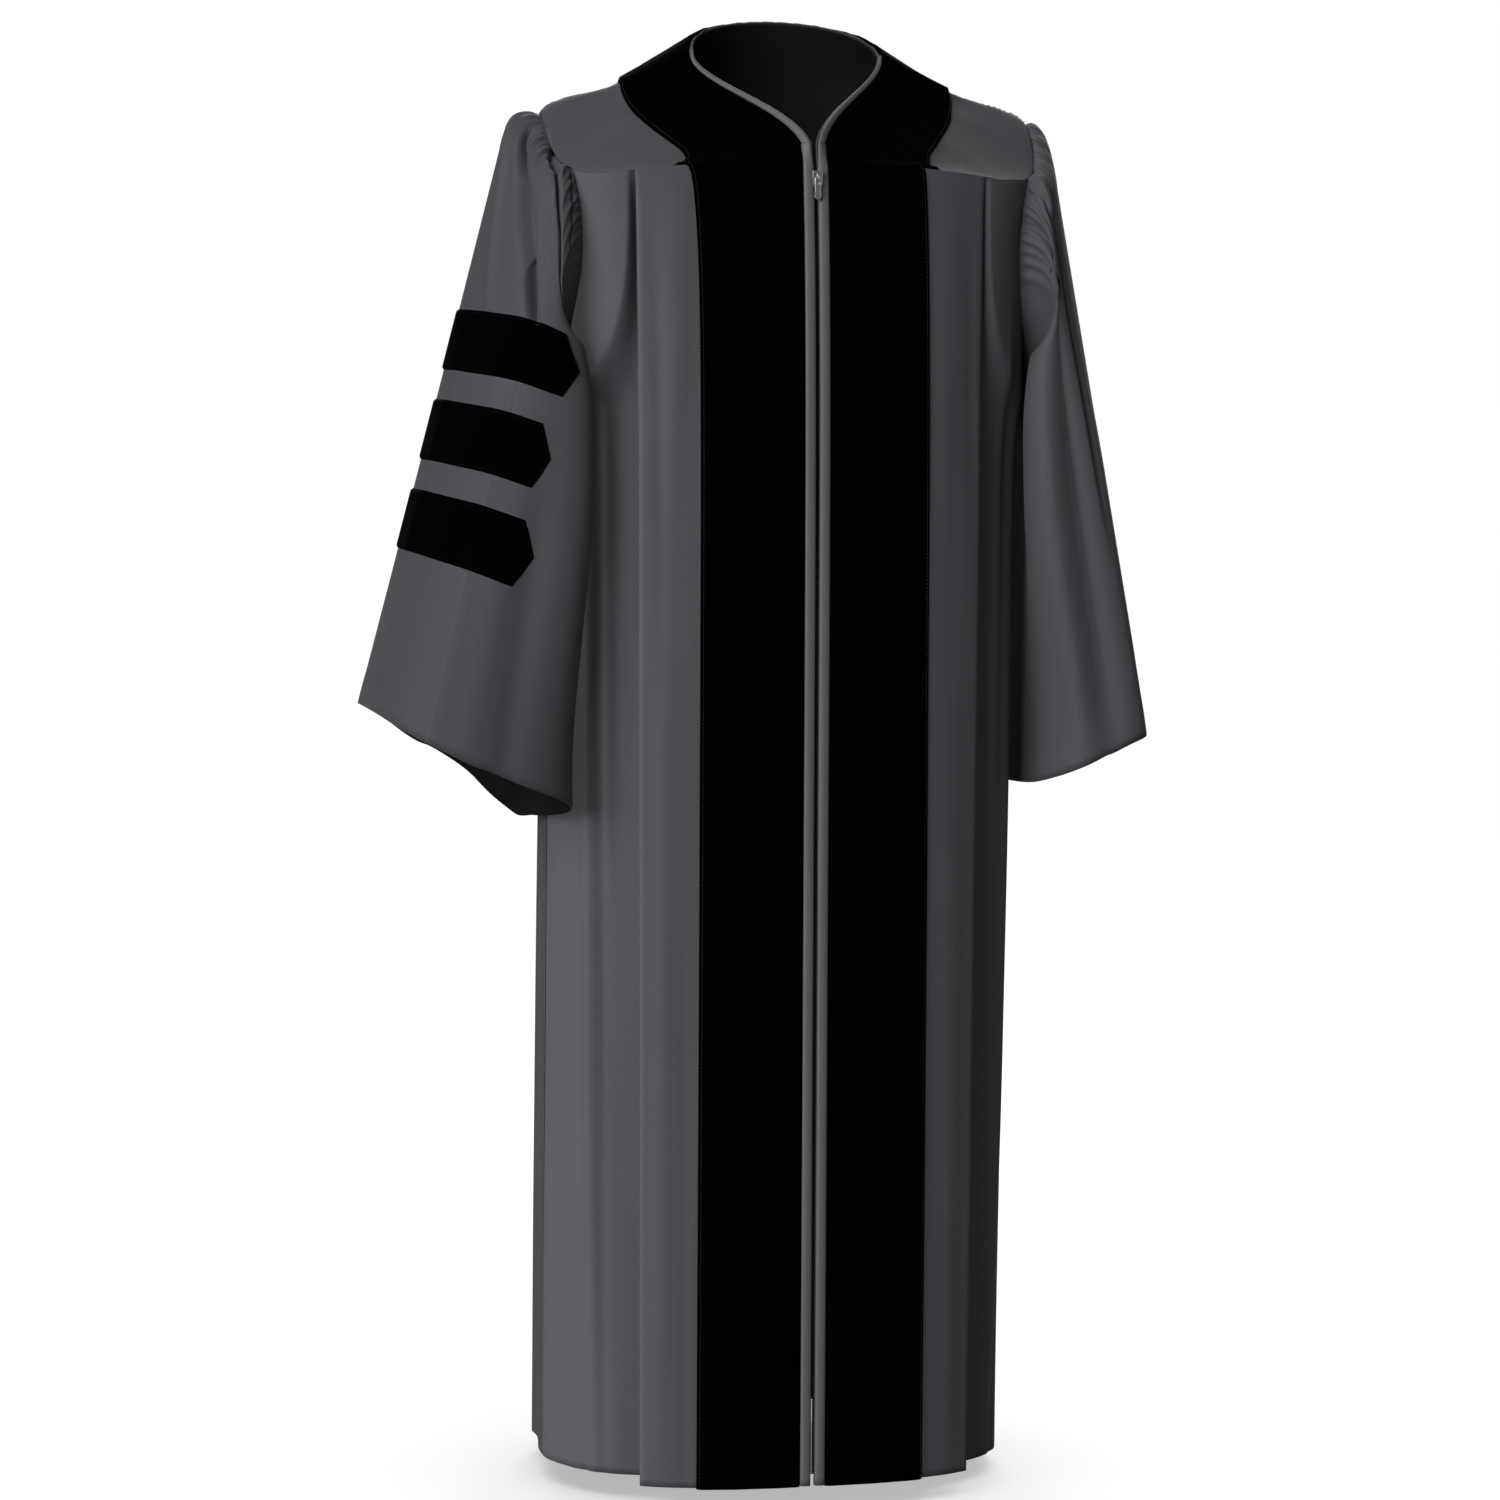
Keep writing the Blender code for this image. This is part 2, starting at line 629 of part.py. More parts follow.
def head_value(turn, column):
    """Value of a head row between its quarters, eased."""
    values = [row[HEAD_COLUMNS.index(column)] for row in HEAD_ROWS]
    place = (turn % 360.0) / 90.0
    low = int(place) % 4
    part = place - int(place)
    return values[low] + (values[(low + 1) % 4] - values[low]) * smooth(part)


def row_height(side, turn, fall):
    """Height of a row of the falling sleeve: fall 0 is the first bar, 1 the cuff."""
    shape = SLEEVES[side]
    inward = (1.0 - math.cos(math.radians(turn))) / 2.0
    outer = BAR_TOP + (shape["outer_z"] - BAR_TOP) * fall
    slant = (shape["inner_z"] - shape["outer_z"]) * inward
    slant += shape["front_lift"] * max(0.0, math.sin(math.radians(turn)))
    slant -= shape["back_drop"] * bump(turn % 360.0 - 222.0, 38.0)
    share = fall ** 2
    return outer - BAR_SLOPE * inward ** 3.0 * (1.0 - share) + slant * share


def sleeve_spine(side, turn, down):
    """Point of the plain sleeve form, before gathers; down runs 0 to 1."""
    shape = SLEEVES[side]
    angle = math.radians(turn)
    start, radial = armhole_point(turn)
    out = head_value(turn, "out") + shape["head"] * max(0.0, math.cos(angle))
    forth = head_value(turn, "forth")
    fall = head_value(turn, "down")
    begin = start + np.array([out, -forth * math.sin(angle), -fall])
    cosine, sine = math.cos(angle), math.sin(angle)
    depth = shape["front_depth"] if sine > 0.0 else shape["back_depth"]
    cuff = np.array([
        shape["middle"] + shape["half_width"] * math.copysign(abs(cosine) ** 0.8, cosine)
        - shape["lap"] * bump(turn - 132.0, 30.0),
        -depth * math.copysign(abs(sine) ** 0.8, sine),
        row_height(side, turn, 1.0),
    ])
    way = cuff - begin
    bend = begin - way / np.linalg.norm(way) * head_value(turn, "round")
    if down < HEAD_END:
        t = down / HEAD_END
        return start * (1 - t) ** 2 + bend * 2 * t * (1 - t) + begin * t ** 2
    if down < BARS_START:
        low = begin[2] - 0.012
        high = min(low, row_height(side, turn, 0.0))
        height = begin[2] + (high - begin[2]) * (down - HEAD_END) / (BARS_START - HEAD_END)
    else:
        fall = (down - BARS_START) / (1.0 - BARS_START)
        top = min(begin[2] - 0.012, row_height(side, turn, 0.0))
        height = top + (row_height(side, turn, fall) - row_height(side, turn, 0.0)) * (
            (cuff[2] - top) / (cuff[2] - row_height(side, turn, 0.0)))
    return begin + way * (height - begin[2]) / way[2]


def sleeve_fold(side, turn, down):
    """Height of gathers and flutes at a place of the sleeve."""
    total = 0.0
    near = (turn + 180.0) % 360.0 - 180.0
    for place, height, reach in GATHERS:
        grow = smooth(down / 0.05) * (1.0 - smooth(down / reach))
        total += height * bump(near - place, GATHER_WIDTH) * grow
    for place, height, start, end, width in FLUTES[side]:
        distance = (turn - place + 180.0) % 360.0 - 180.0
        total += height * bump(distance, width) * span(down, start, end)
    return total


def sleeve_grid(side):
    """Nodes and normals of a sleeve on the wearer's left, rows from the seam down."""
    turns = sleeve_turns()
    downs = sleeve_downs()
    spine = np.array([[sleeve_spine(side, turn, down) for turn in turns] for down in downs])
    normals = -grid_normals(spine, closed=True)
    for column, turn in enumerate(turns):
        normals[0, column] = armhole_point(turn)[1]
    folds = np.array([[sleeve_fold(side, turn, down) for turn in turns] for down in downs])
    points = spine + normals * folds[..., None]
    folded = -grid_normals(points, closed=True)
    folded[0] = normals[0]
    return points, folded


def sleeve_turns():
    """Columns round the sleeve: a ridge and a valley a gather, wider ones below."""
    places = [row[0] for row in GATHERS]
    turns = []
    for low, high in zip(places[:-1], places[1:]):
        turns += [low, (low + high) / 2.0]
    turns.append(places[-1])
    turns += list(np.linspace(places[-1], places[0] + 360.0, 16)[1:-1])
    return turns


def sleeve_downs():
    """Rows of the sleeve: the head, three rows a bar, and the plain bell."""
    downs = [0.0, 0.030, 0.070, 0.115, HEAD_END, (HEAD_END + BARS_START) / 2.0]
    for number in range(3):
        for part in (0.0, 0.5, 1.0):
            fall = (number * BAR_PITCH + part * BAR_HEIGHT) / BARS_FALL
            downs.append(BARS_START + (1.0 - BARS_START) * fall)
    return downs + [0.86, 1.0]


def make_sleeve(side):
    """Open bell sleeve gathered into the armhole."""
    points, normals = sleeve_grid(side)
    if side == "left":
        points, normals = points[:, ::-1], normals[:, ::-1]
    else:
        flip = np.array([-1.0, 1.0, 1.0])
        points, normals = points * flip, normals * flip
    wall("sleeve_" + side, points, normals, CLOTH, "suiting", closed=True)


def make_bars(side):
    """Three velvet bars with pointed ends, made from the sleeve's own nodes."""
    points, normals = sleeve_grid(side)
    turns = sleeve_turns()
    back, tips = BARS[side]
    wrapped = [turn - 360.0 if turn > 170.0 else turn for turn in turns]
    lift = CLOTH / 2.0 + SEAM_GAP * 1.5 + VELVET / 2.0
    for number in range(3):
        order = [place for place in np.argsort(wrapped) if back <= wrapped[place] <= tips[number]]
        first = 6 + number * 3
        nodes = points[first:first + 3][:, order].copy()
        ways = normals[first:first + 3][:, order].copy()
        for end, inner in ((0, 1), (-1, -2)):
            for row in (0, 2):
                nodes[row, end] = nodes[row, inner] + (nodes[row, end] - nodes[row, inner]) * 0.15
                ways[row, end] = ways[row, inner] + (ways[row, end] - ways[row, inner]) * 0.15
        if side == "left":
            nodes, ways = nodes[:, ::-1], ways[:, ::-1]
        else:
            flip = np.array([-1.0, 1.0, 1.0])
            nodes, ways = nodes * flip, ways * flip
        wall("bar_%s_%d" % (side, number + 1), nodes, ways, VELVET, "bar velvet", lift=lift)


# Zip slider and pull

def prism(name, outline, start, end, axis, material):
    """Solid of an outline in the plane across an axis, from start to end along it."""
    vertices = []
    for place in (start, end):
        for first, second in outline:
            vertices.append((place, first, second) if axis == "x" else (first, second, place))
    count = len(outline)
    faces = [tuple(range(count - 1, -1, -1)), tuple(range(count, 2 * count))]
    for corner in range(count):
        after = (corner + 1) % count
        faces.append((corner, after, count + after, count + corner))
    return finish(name, vertices, faces, material, smoothed=False)


def make_slider():
    """Slider standing on the chain between the pipings, with an arch for the pull."""
    front = SLIDER_MIDDLE[1]
    high = SLIDER_MIDDLE[2]
    tee = [(-0.0012, front - 0.0028), (0.0012, front - 0.0028), (0.0012, front - 0.0072),
           (0.0046, front - 0.0072), (0.0046, front - 0.0090), (-0.0046, front - 0.0090),
           (-0.0046, front - 0.0072), (-0.0012, front - 0.0072)]
    body = prism("zip_slider", tee, high - 0.0065, high + 0.0065, "z", "nickel")
    recalculate(body)
    foot = front - 0.0088
    arch = [(foot, high - 0.0036), (foot - 0.0036, high - 0.0026), (foot - 0.0036, high + 0.0026),
            (foot, high + 0.0036), (foot, high + 0.0020), (foot - 0.0024, high + 0.0016),
            (foot - 0.0024, high - 0.0016), (foot, high - 0.0020)]
    bail = prism("slider_arch", arch, -0.0008, 0.0008, "x", "nickel")
    recalculate(bail)
    join_solids(body, bail)


def make_pull():
    """Flat pull tab with an eye whose upper bar turns inside the slider's arch."""
    pivot = bpy.data.objects.new("zip_pull_hinge", None)
    collection().objects.link(pivot)
    pivot.location = (0.0, PULL_AXIS[1], PULL_AXIS[2])
    outline = [(-0.0028, 0.0006), (0.0028, 0.0006), (0.0030, -0.0170), (0.0018, -0.0190),
               (-0.0018, -0.0190), (-0.0030, -0.0170)]
    plate = prism("zip_pull", outline, -0.0006, 0.0006, "z", "nickel")
    for vertex in plate.data.vertices:
        x, z, y = vertex.co
        vertex.co = (x, y, z)
    recalculate(plate)
    window = [(-0.0016, -0.0006), (0.0016, -0.0006), (0.0016, -0.0058), (-0.0016, -0.0058)]
    cutter = prism("pull_window", window, -0.0030, 0.0030, "z", "nickel")
    for vertex in cutter.data.vertices:
        x, z, y = vertex.co
        vertex.co = (x, y, z)
    recalculate(cutter)
    cut = plate.modifiers.new("window", "BOOLEAN")
    cut.operation = "DIFFERENCE"
    cut.solver = "EXACT"
    cut.object = cutter
    hide_cutter(cutter)
    for thing in (plate, cutter):
        thing.parent = pivot


def recalculate(thing):
    mesh = bmesh.new()
    mesh.from_mesh(thing.data)
    bmesh.ops.recalc_face_normals(mesh, faces=mesh.faces)
    mesh.to_mesh(thing.data)
    mesh.free()


def hide_cutter(thing):
    found = bpy.data.collections.get("cutters")
    if found is None:
        found = bpy.data.collections.new("cutters")
        bpy.context.scene.collection.children.link(found)
    for home in list(thing.users_collection):
        home.objects.unlink(thing)
    found.objects.link(thing)
    thing.hide_render = True
    thing.display_type = "WIRE"


def join_solids(body, other):
    """Adds another solid to a body and keeps it as a hidden cutter."""
    union = body.modifiers.new("arch", "BOOLEAN")
    union.operation = "UNION"
    union.solver = "EXACT"
    union.object = other
    hide_cutter(other)


def main():
    clear_scene()
    make_yoke()
    for side in ("right", "left"):
        make_front(side)
        make_band(side)
        make_piping(side)
        make_sleeve(side)
        make_bars(side)
    make_back()
    make_neck_lining()
    make_zip()
    make_slider()
    make_pull()


main()
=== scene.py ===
import json
import math

import bpy
import numpy as np
from mathutils import Matrix, Vector

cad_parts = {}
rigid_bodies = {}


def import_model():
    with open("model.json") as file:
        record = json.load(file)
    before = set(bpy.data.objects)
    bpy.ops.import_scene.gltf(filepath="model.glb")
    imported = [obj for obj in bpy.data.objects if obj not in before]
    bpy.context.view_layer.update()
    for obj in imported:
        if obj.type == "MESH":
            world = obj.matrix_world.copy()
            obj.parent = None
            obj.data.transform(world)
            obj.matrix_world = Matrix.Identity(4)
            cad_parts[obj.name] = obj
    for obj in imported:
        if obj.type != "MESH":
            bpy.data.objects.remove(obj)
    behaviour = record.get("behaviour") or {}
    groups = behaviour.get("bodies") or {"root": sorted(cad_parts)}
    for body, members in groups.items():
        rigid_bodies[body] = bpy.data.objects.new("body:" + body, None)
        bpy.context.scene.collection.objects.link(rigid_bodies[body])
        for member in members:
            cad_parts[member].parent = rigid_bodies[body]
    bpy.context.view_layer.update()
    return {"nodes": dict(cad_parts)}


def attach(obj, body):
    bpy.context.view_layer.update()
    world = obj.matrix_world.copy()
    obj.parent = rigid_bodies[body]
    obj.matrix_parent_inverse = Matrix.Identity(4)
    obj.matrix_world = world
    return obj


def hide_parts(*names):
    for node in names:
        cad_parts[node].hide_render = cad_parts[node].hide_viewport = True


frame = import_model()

bl_info = {
    "name": "Graduation gown",
    "version": (1, 0, 0),
    "blender": (4, 5, 0),
    "location": "3D View > Sidebar > Gown",
    "description": "Dresses the packed graduation gown as cloth and sets up its studio",
    "category": "Add Mesh",
}

# Body form, the same as the solids': half widths and depths, heights, squareness
SEAM_GAP = 0.0003
STACK = 0.0030
HEM_Z = -1.311
ZIP_END_Z = -1.300
FRONT_GAP = 0.0018
PIPING_WIDTH = 0.0100
PIPING_HEIGHT = 0.0042
VELVET_EDGE = 0.1070
PLEAT_EDGE = (0.1640, 0.1560)
PLEAT_RETURN = 0.0300
ARMHOLE_TURN = 63.0
BODY_COLUMNS = (
    "half_width", "front_depth", "back_depth", "front_z", "side_z", "back_z",
    "sin_power", "cos_power", "back_power", "front_rise", "back_rise", "dip", "drop",
)
BODY_ROWS = (
    ("neck", 0.088, 0.114, 0.056, -0.103, 0.000, 0.033, 2.30, 2.00, 1.00, 0.85, 2.0, 0.0, 0.0),
    ("shoulder", 0.160, 0.1145, 0.096, -0.104, -0.032, -0.026, 1.25, 1.10, 0.85, 2.2, 2.4, 0.0, 0.004),
    ("yoke", 0.231, 0.115, 0.124, -0.104, -0.060, -0.127, 0.62, 0.62, 0.62, 6.5, 6.5, 0.013, 0.010),
    ("chest", 0.2225, 0.125, 0.148, -0.195, -0.195, -0.195, 0.66, 0.66, 0.66, 1.0, 1.0, 0.0, 0.0),
    ("underarm", 0.2195, 0.134, 0.158, -0.322, -0.322, -0.322, 0.68, 0.68, 0.68, 1.0, 1.0, 0.0, 0.0),
    ("waist", 0.2195, 0.142, 0.166, -0.536, -0.536, -0.536, 0.68, 0.68, 0.68, 1.0, 1.0, 0.0, 0.0),
    ("hip", 0.2200, 0.149, 0.174, -0.780, -0.780, -0.780, 0.68, 0.68, 0.68, 1.0, 1.0, 0.0, 0.0),
    ("knee", 0.2200, 0.157, 0.182, -1.053, -1.053, -1.053, 0.70, 0.70, 0.70, 1.0, 1.0, 0.0, 0.0),
    ("hem", 0.2190, 0.164, 0.188, HEM_Z, HEM_Z, HEM_Z, 0.72, 0.72, 0.72, 1.0, 1.0, 0.0, 0.0),
)
BODY = {name: [row[1 + place] for row in BODY_ROWS] for place, name in enumerate(BODY_COLUMNS)}
YOKE, UNDERARM, HEM = 2.0, 4.0, 8.0

# Rungs of the yoke from the front seam to the centre back
RUNG_COLUMNS = ("inner", "inner_level", "outer", "outer_level", "border", "piping")
RUNGS = (
    (0.0, 2.0, 17.3, 2.0, 63.0, 0.0100), (0.0, 0.90, 40.0, 1.25, 70.0, 0.0100),
    (0.0, 0.10, 46.0, 1.14, 75.0, 0.0100), (6.0, 0.00, 51.0, 1.09, 79.0, 0.0100),
    (14.0, 0.00, 56.0, 1.05, 83.0, 0.0098), (24.0, 0.00, 62.0, 1.02, 87.0, 0.0092),
    (36.0, 0.00, 69.0, 1.00, 90.0, 0.0082), (50.0, 0.00, 76.0, 0.985, 94.0, 0.0068),
    (70.0, 0.00, 84.0, 0.97, 98.0, 0.0052), (90.0, 0.00, 95.0, 0.95, 104.0, 0.0036),
    (112.0, 0.00, 112.0, 0.91, 117.0, 0.0016), (133.0, 0.00, 133.0, 0.86, 134.0, 0.0016),
    (150.0, 0.00, 150.0, 0.83, 150.0, 0.0016), (165.0, 0.00, 165.0, 0.81, 165.0, 0.0016),
    (180.0, 0.00, 180.0, 0.80, 180.0, 0.0016),
)
RUNG = {name: [row[place] for row in RUNGS] for place, name in enumerate(RUNG_COLUMNS)}
SHOULDER_RUNG = 9.0
VELVET_FLARE = {"right": 0.0120, "left": -0.0040}
PLEAT_DEPTH = {"right": (0.0010, 0.008, 0.034), "left": (0.0010, 0.006, 0.022)}

# Sleeves: the cuff's reach, width and depth, its slant and lap, and the head's reach
SLEEVES = {
    "right": dict(middle=0.3130, half_width=0.0790, front_depth=0.1420, back_depth=0.1380,
                  outer_z=-0.603, inner_z=-0.702, front_lift=0.005, back_lift=0.008, back_drop=0.012, lap=0.034, head=0.0),
    "left": dict(middle=0.2850, half_width=0.0560, front_depth=0.1420, back_depth=0.1300,
                 outer_z=-0.614, inner_z=-0.676, front_lift=0.005, back_lift=0.004, back_drop=0.006, lap=0.010, head=-0.012),
}
HEAD = {
    "out": (0.036, 0.026, 0.015, 0.030), "forth": (0.000, 0.042, 0.000, 0.034),
    "down": (0.022, 0.022, 0.045, 0.022), "round": (0.022, 0.030, 0.030, 0.030),
}
HEAD_END, BARS_START = 0.16, 0.34
BAR_TOP, BAR_SLOPE, BAR_HEIGHT, BAR_PITCH, BARS_FALL = -0.239, 0.120, 0.0550, 0.0820, 0.363
# Each bar: turn of the back point and shoulder, then of the front shoulder and point
BARS = {
    "right": ((-96.0, -89.2, 96.7, 106.3), (-96.0, -89.2, 88.6, 95.0), (-96.0, -89.2, 88.6, 95.0)),
    "left": ((-170.0, -161.0, 3.6, 10.0), (-170.0, -161.0, 3.6, 10.0), (-170.0, -161.0, 3.6, 10.0)),
}
# Gathers of a sleeve head: turn, height, reach down the sleeve, width in degrees
GATHERS = (
    (-98.0, 0.0034, 0.22, 3.0), (-90.0, 0.0028, 0.14, 2.0), (-82.0, 0.0036, 0.24, 2.4), (-74.5, 0.0026, 0.13, 1.8),
    (-66.0, 0.0034, 0.20, 2.2), (-58.5, 0.0026, 0.12, 1.8), (-51.0, 0.0038, 0.26, 2.4), (-43.5, 0.0026, 0.13, 1.7),
    (-36.0, 0.0034, 0.20, 2.1), (-29.0, 0.0028, 0.12, 1.7), (-22.0, 0.0036, 0.22, 2.1), (-15.0, 0.0028, 0.12, 1.7),
    (-8.0, 0.0034, 0.16, 1.9), (-2.0, 0.0028, 0.10, 1.4), (3.0, 0.0028, 0.11, 1.3), (7.4, 0.0022, 0.08, 1.1),
    (11.2, 0.0032, 0.13, 1.3), (15.8, 0.0022, 0.09, 1.0), (19.4, 0.0032, 0.14, 1.3), (24.0, 0.0024, 0.09, 1.0),
    (27.6, 0.0034, 0.15, 1.2), (32.1, 0.0024, 0.10, 1.0), (35.8, 0.0032, 0.14, 1.2), (40.3, 0.0024, 0.09, 1.0),
    (44.0, 0.0034, 0.16, 1.2), (48.6, 0.0024, 0.10, 1.0), (52.3, 0.0032, 0.15, 1.2), (56.8, 0.0024, 0.10, 1.0),
    (60.6, 0.0034, 0.17, 1.2), (65.2, 0.0024, 0.11, 1.0), (69.4, 0.0030, 0.16, 1.2), (74.4, 0.0024, 0.12, 1.1),
    (79.4, 0.0030, 0.18, 1.4), (85.4, 0.0024, 0.15, 1.4), (91.5, 0.0028, 0.20, 1.7), (99.0, 0.0026, 0.20, 2.2),
)
# Soft flutes of a sleeve: turn, drift to the cuff, height, start, end, width
SLEEVE_FOLDS = {
    "right": ((8.0, 170.0, -0.0150, -0.02, 0.44, 4.2), (30.0, 290.0, -0.0080, -0.05, 0.27, 3.0),
              (42.0, 500.0, -0.0050, -0.03, 0.11, 2.4), (-8.0, 120.0, 0.0040, 0.00, 0.40, 5.0),
              (112.0, 8.0, 0.0070, 0.20, 1.10, 15.0), (232.0, -4.0, -0.0080, 0.30, 1.20, 16.0),
              (290.0, 5.0, -0.0060, 0.12, 0.80, 12.0), (20.0, -10.0, 0.0028, 0.30, 1.05, 8.0),
              (58.0, 6.0, 0.0030, 0.42, 1.15, 7.0), (88.0, 10.0, -0.0035, 0.50, 1.25, 7.5),
              (-30.0, -8.0, 0.0032, 0.25, 0.95, 8.0), (-62.0, 6.0, 0.0030, 0.38, 1.10, 9.0),
              (200.0, 8.0, 0.0035, 0.30, 1.15, 9.0), (262.0, -6.0, 0.0035, 0.22, 1.00, 9.0)),
    "left": ((40.0, 60.0, -0.0060, -0.04, 0.34, 3.2), (58.0, 8.0, -0.0095, -0.05, 0.74, 3.8),
              (70.0, 90.0, -0.0060, -0.03, 0.24, 2.8), (58.0, 4.0, 0.0060, 0.25, 1.20, 10.0),
             (84.0, 4.0, -0.0080, 0.15, 1.20, 11.0), (236.0, -4.0, -0.0080, 0.30, 1.20, 16.0),
             (300.0, 5.0, -0.0060, 0.12, 0.80, 12.0), (12.0, 8.0, 0.0030, 0.35, 1.10, 8.0),
             (44.0, -5.0, -0.0024, 0.45, 1.15, 6.0), (102.0, 6.0, 0.0036, 0.30, 1.10, 8.0),
             (-34.0, -7.0, 0.0030, 0.28, 1.00, 8.0), (-66.0, 6.0, 0.0034, 0.36, 1.15, 9.0),
             (206.0, 7.0, 0.0035, 0.30, 1.15, 9.0)),
}
# Soft creases of a front beyond the pleat: turn, drift, height, top, foot, width
SIDE_FOLDS = {
    "right": ((66.0, 0.0, 0.0060, 2.6, 8.4, 5.0), (80.0, 0.0, -0.0050, 4.2, 8.6, 5.5),
              (54.0, 4.0, 0.0026, 3.2, 6.2, 3.0), (73.0, -3.0, -0.0022, 5.2, 9.0, 2.8),
              (60.0, 3.0, -0.0016, 4.6, 8.8, 2.6)),
    "left": ((68.0, 0.0, 0.0055, 2.8, 8.4, 5.5), (81.0, 0.0, -0.0045, 4.4, 8.6, 5.0),
             (56.0, 3.0, 0.0024, 3.0, 6.8, 3.0), (74.0, -4.0, -0.0024, 4.8, 9.0, 3.0)),
}
# Soft creases between velvet and pleat: share of the way, drift, height, top, foot, width
PANEL_FOLDS = {
    "right": ((0.30, 0.10, 0.0012, 2.2, 4.6, 0.16), (0.74, -0.12, -0.0012, 2.1, 5.4, 0.12),
              (0.52, 0.14, 0.0014, 4.2, 8.4, 0.20), (0.18, 0.05, -0.0008, 5.6, 9.0, 0.14)),
    "left": ((0.34, -0.08, 0.0012, 2.3, 5.0, 0.18), (0.70, 0.10, -0.0011, 2.1, 4.8, 0.13),
             (0.46, 0.10, 0.0013, 4.8, 8.8, 0.20)),
}
# Flutes of the back: turn, drift, height, width
BACK_FLUTES = (
    (118.0, -2.0, 0.009, 7.0), (131.0, 1.5, 0.010, 5.5), (144.0, -1.0, 0.009, 5.0), (156.0, 1.5, 0.011, 5.5),
    (169.0, -1.5, 0.009, 4.5), (180.0, 1.0, 0.010, 4.5), (192.0, -1.0, 0.010, 5.0), (204.0, 1.5, 0.009, 5.0),
    (217.0, -1.5, 0.011, 5.5), (229.0, 1.0, 0.009, 5.0), (242.0, 2.0, 0.010, 6.5),
)


class GownSizes(bpy.types.PropertyGroup):
    """Sizes of the cloth and its sewing."""
    cloth: bpy.props.FloatProperty(
        name="Cloth", description="Thickness of the suiting", default=0.0009, subtype="DISTANCE", unit="LENGTH")
    velvet: bpy.props.FloatProperty(
        name="Velvet", description="Height of the velvet over the suiting", default=0.0024,
        subtype="DISTANCE", unit="LENGTH")
    stitch: bpy.props.FloatProperty(
        name="Stitch", description="Pitch of the top stitching", default=0.0034, subtype="DISTANCE", unit="LENGTH")
    tooth: bpy.props.FloatProperty(
        name="Tooth", description="Pitch of the zip's teeth", default=0.0021, subtype="DISTANCE", unit="LENGTH")
    weave: bpy.props.FloatProperty(
        name="Weave", description="Pitch of the twill", default=0.0007, subtype="DISTANCE", unit="LENGTH")
    folds: bpy.props.FloatProperty(
        name="Folds", description="Strength of the soft creases", default=1.0, subtype="FACTOR")


class GownColours(bpy.types.PropertyGroup):
    """Colours of the cloths and the metal."""
    suiting: bpy.props.FloatVectorProperty(
        name="Suiting", description="Charcoal twill", default=(0.0610, 0.0580, 0.0662), subtype="COLOR", size=3)
    velvet: bpy.props.FloatVectorProperty(
        name="Velvet", description="Black velvet of the bands", default=(0.0004, 0.0004, 0.0005),
        subtype="COLOR", size=3)
    bars: bpy.props.FloatVectorProperty(
        name="Bars", description="Black velvet of the sleeve bars", default=(0.0005, 0.0005, 0.0009),
        subtype="COLOR", size=3)
    piping: bpy.props.FloatVectorProperty(
        name="Piping", description="Rolled satin edge", default=(0.080, 0.079, 0.082), subtype="COLOR", size=3)
    # The lining's near-black colour is partly its own dark cloth and partly painted shade inside the neck.
    lining: bpy.props.FloatVectorProperty(
        name="Lining", description="Smooth dark inside of the neck", default=(0.0110, 0.0110, 0.0125),
        subtype="COLOR", size=3)
    metal: bpy.props.FloatVectorProperty(
        name="Metal", description="Nickel of slider and pull", default=(0.62, 0.61, 0.60), subtype="COLOR", size=3)


def sizes():
    return bpy.context.scene.gown_sizes


def colours():
    return bpy.context.scene.gown_colours


# Curves and steps

def ease(value):
    value = np.clip(value, 0.0, 1.0)
    return value * value * (3.0 - 2.0 * value)


def swell(distance, width):
    return np.exp(-(distance / width) ** 2)


def span(value, start, end):
    """Rises after start and falls again before end, each over a third."""
    third = (end - start) / 3.0
    return ease((value - start) / third) * ease((end - value) / third)


def through(values, place):
    """Smooth curve through evenly spaced values without overshoot."""
    values = np.asarray(values, float)
    steps = np.diff(values)
    slopes = np.concatenate([steps[:1], np.zeros(len(steps) - 1), steps[-1:]])
    before, after = steps[:-1], steps[1:]
    agree = before * after > 0.0
    slopes[1:-1] = np.where(agree, 2.0 * before * after / np.where(agree, before + after, 1.0), 0.0)
    place = np.clip(np.asarray(place, float), 0.0, len(values) - 1.0)
    low = np.minimum(place.astype(int), len(values) - 2)
    part = place - low
    rise, start, end = steps[low], slopes[low], slopes[low + 1]
    return (values[low] + part * start + part ** 2 * (3.0 * rise - 2.0 * start - end)
            + part ** 3 * (start + end - 2.0 * rise))


def lengths_along(line):
    steps = np.linalg.norm(np.diff(line, axis=0), axis=1)
    return np.concatenate([[0.0], np.cumsum(steps)])


# Body form

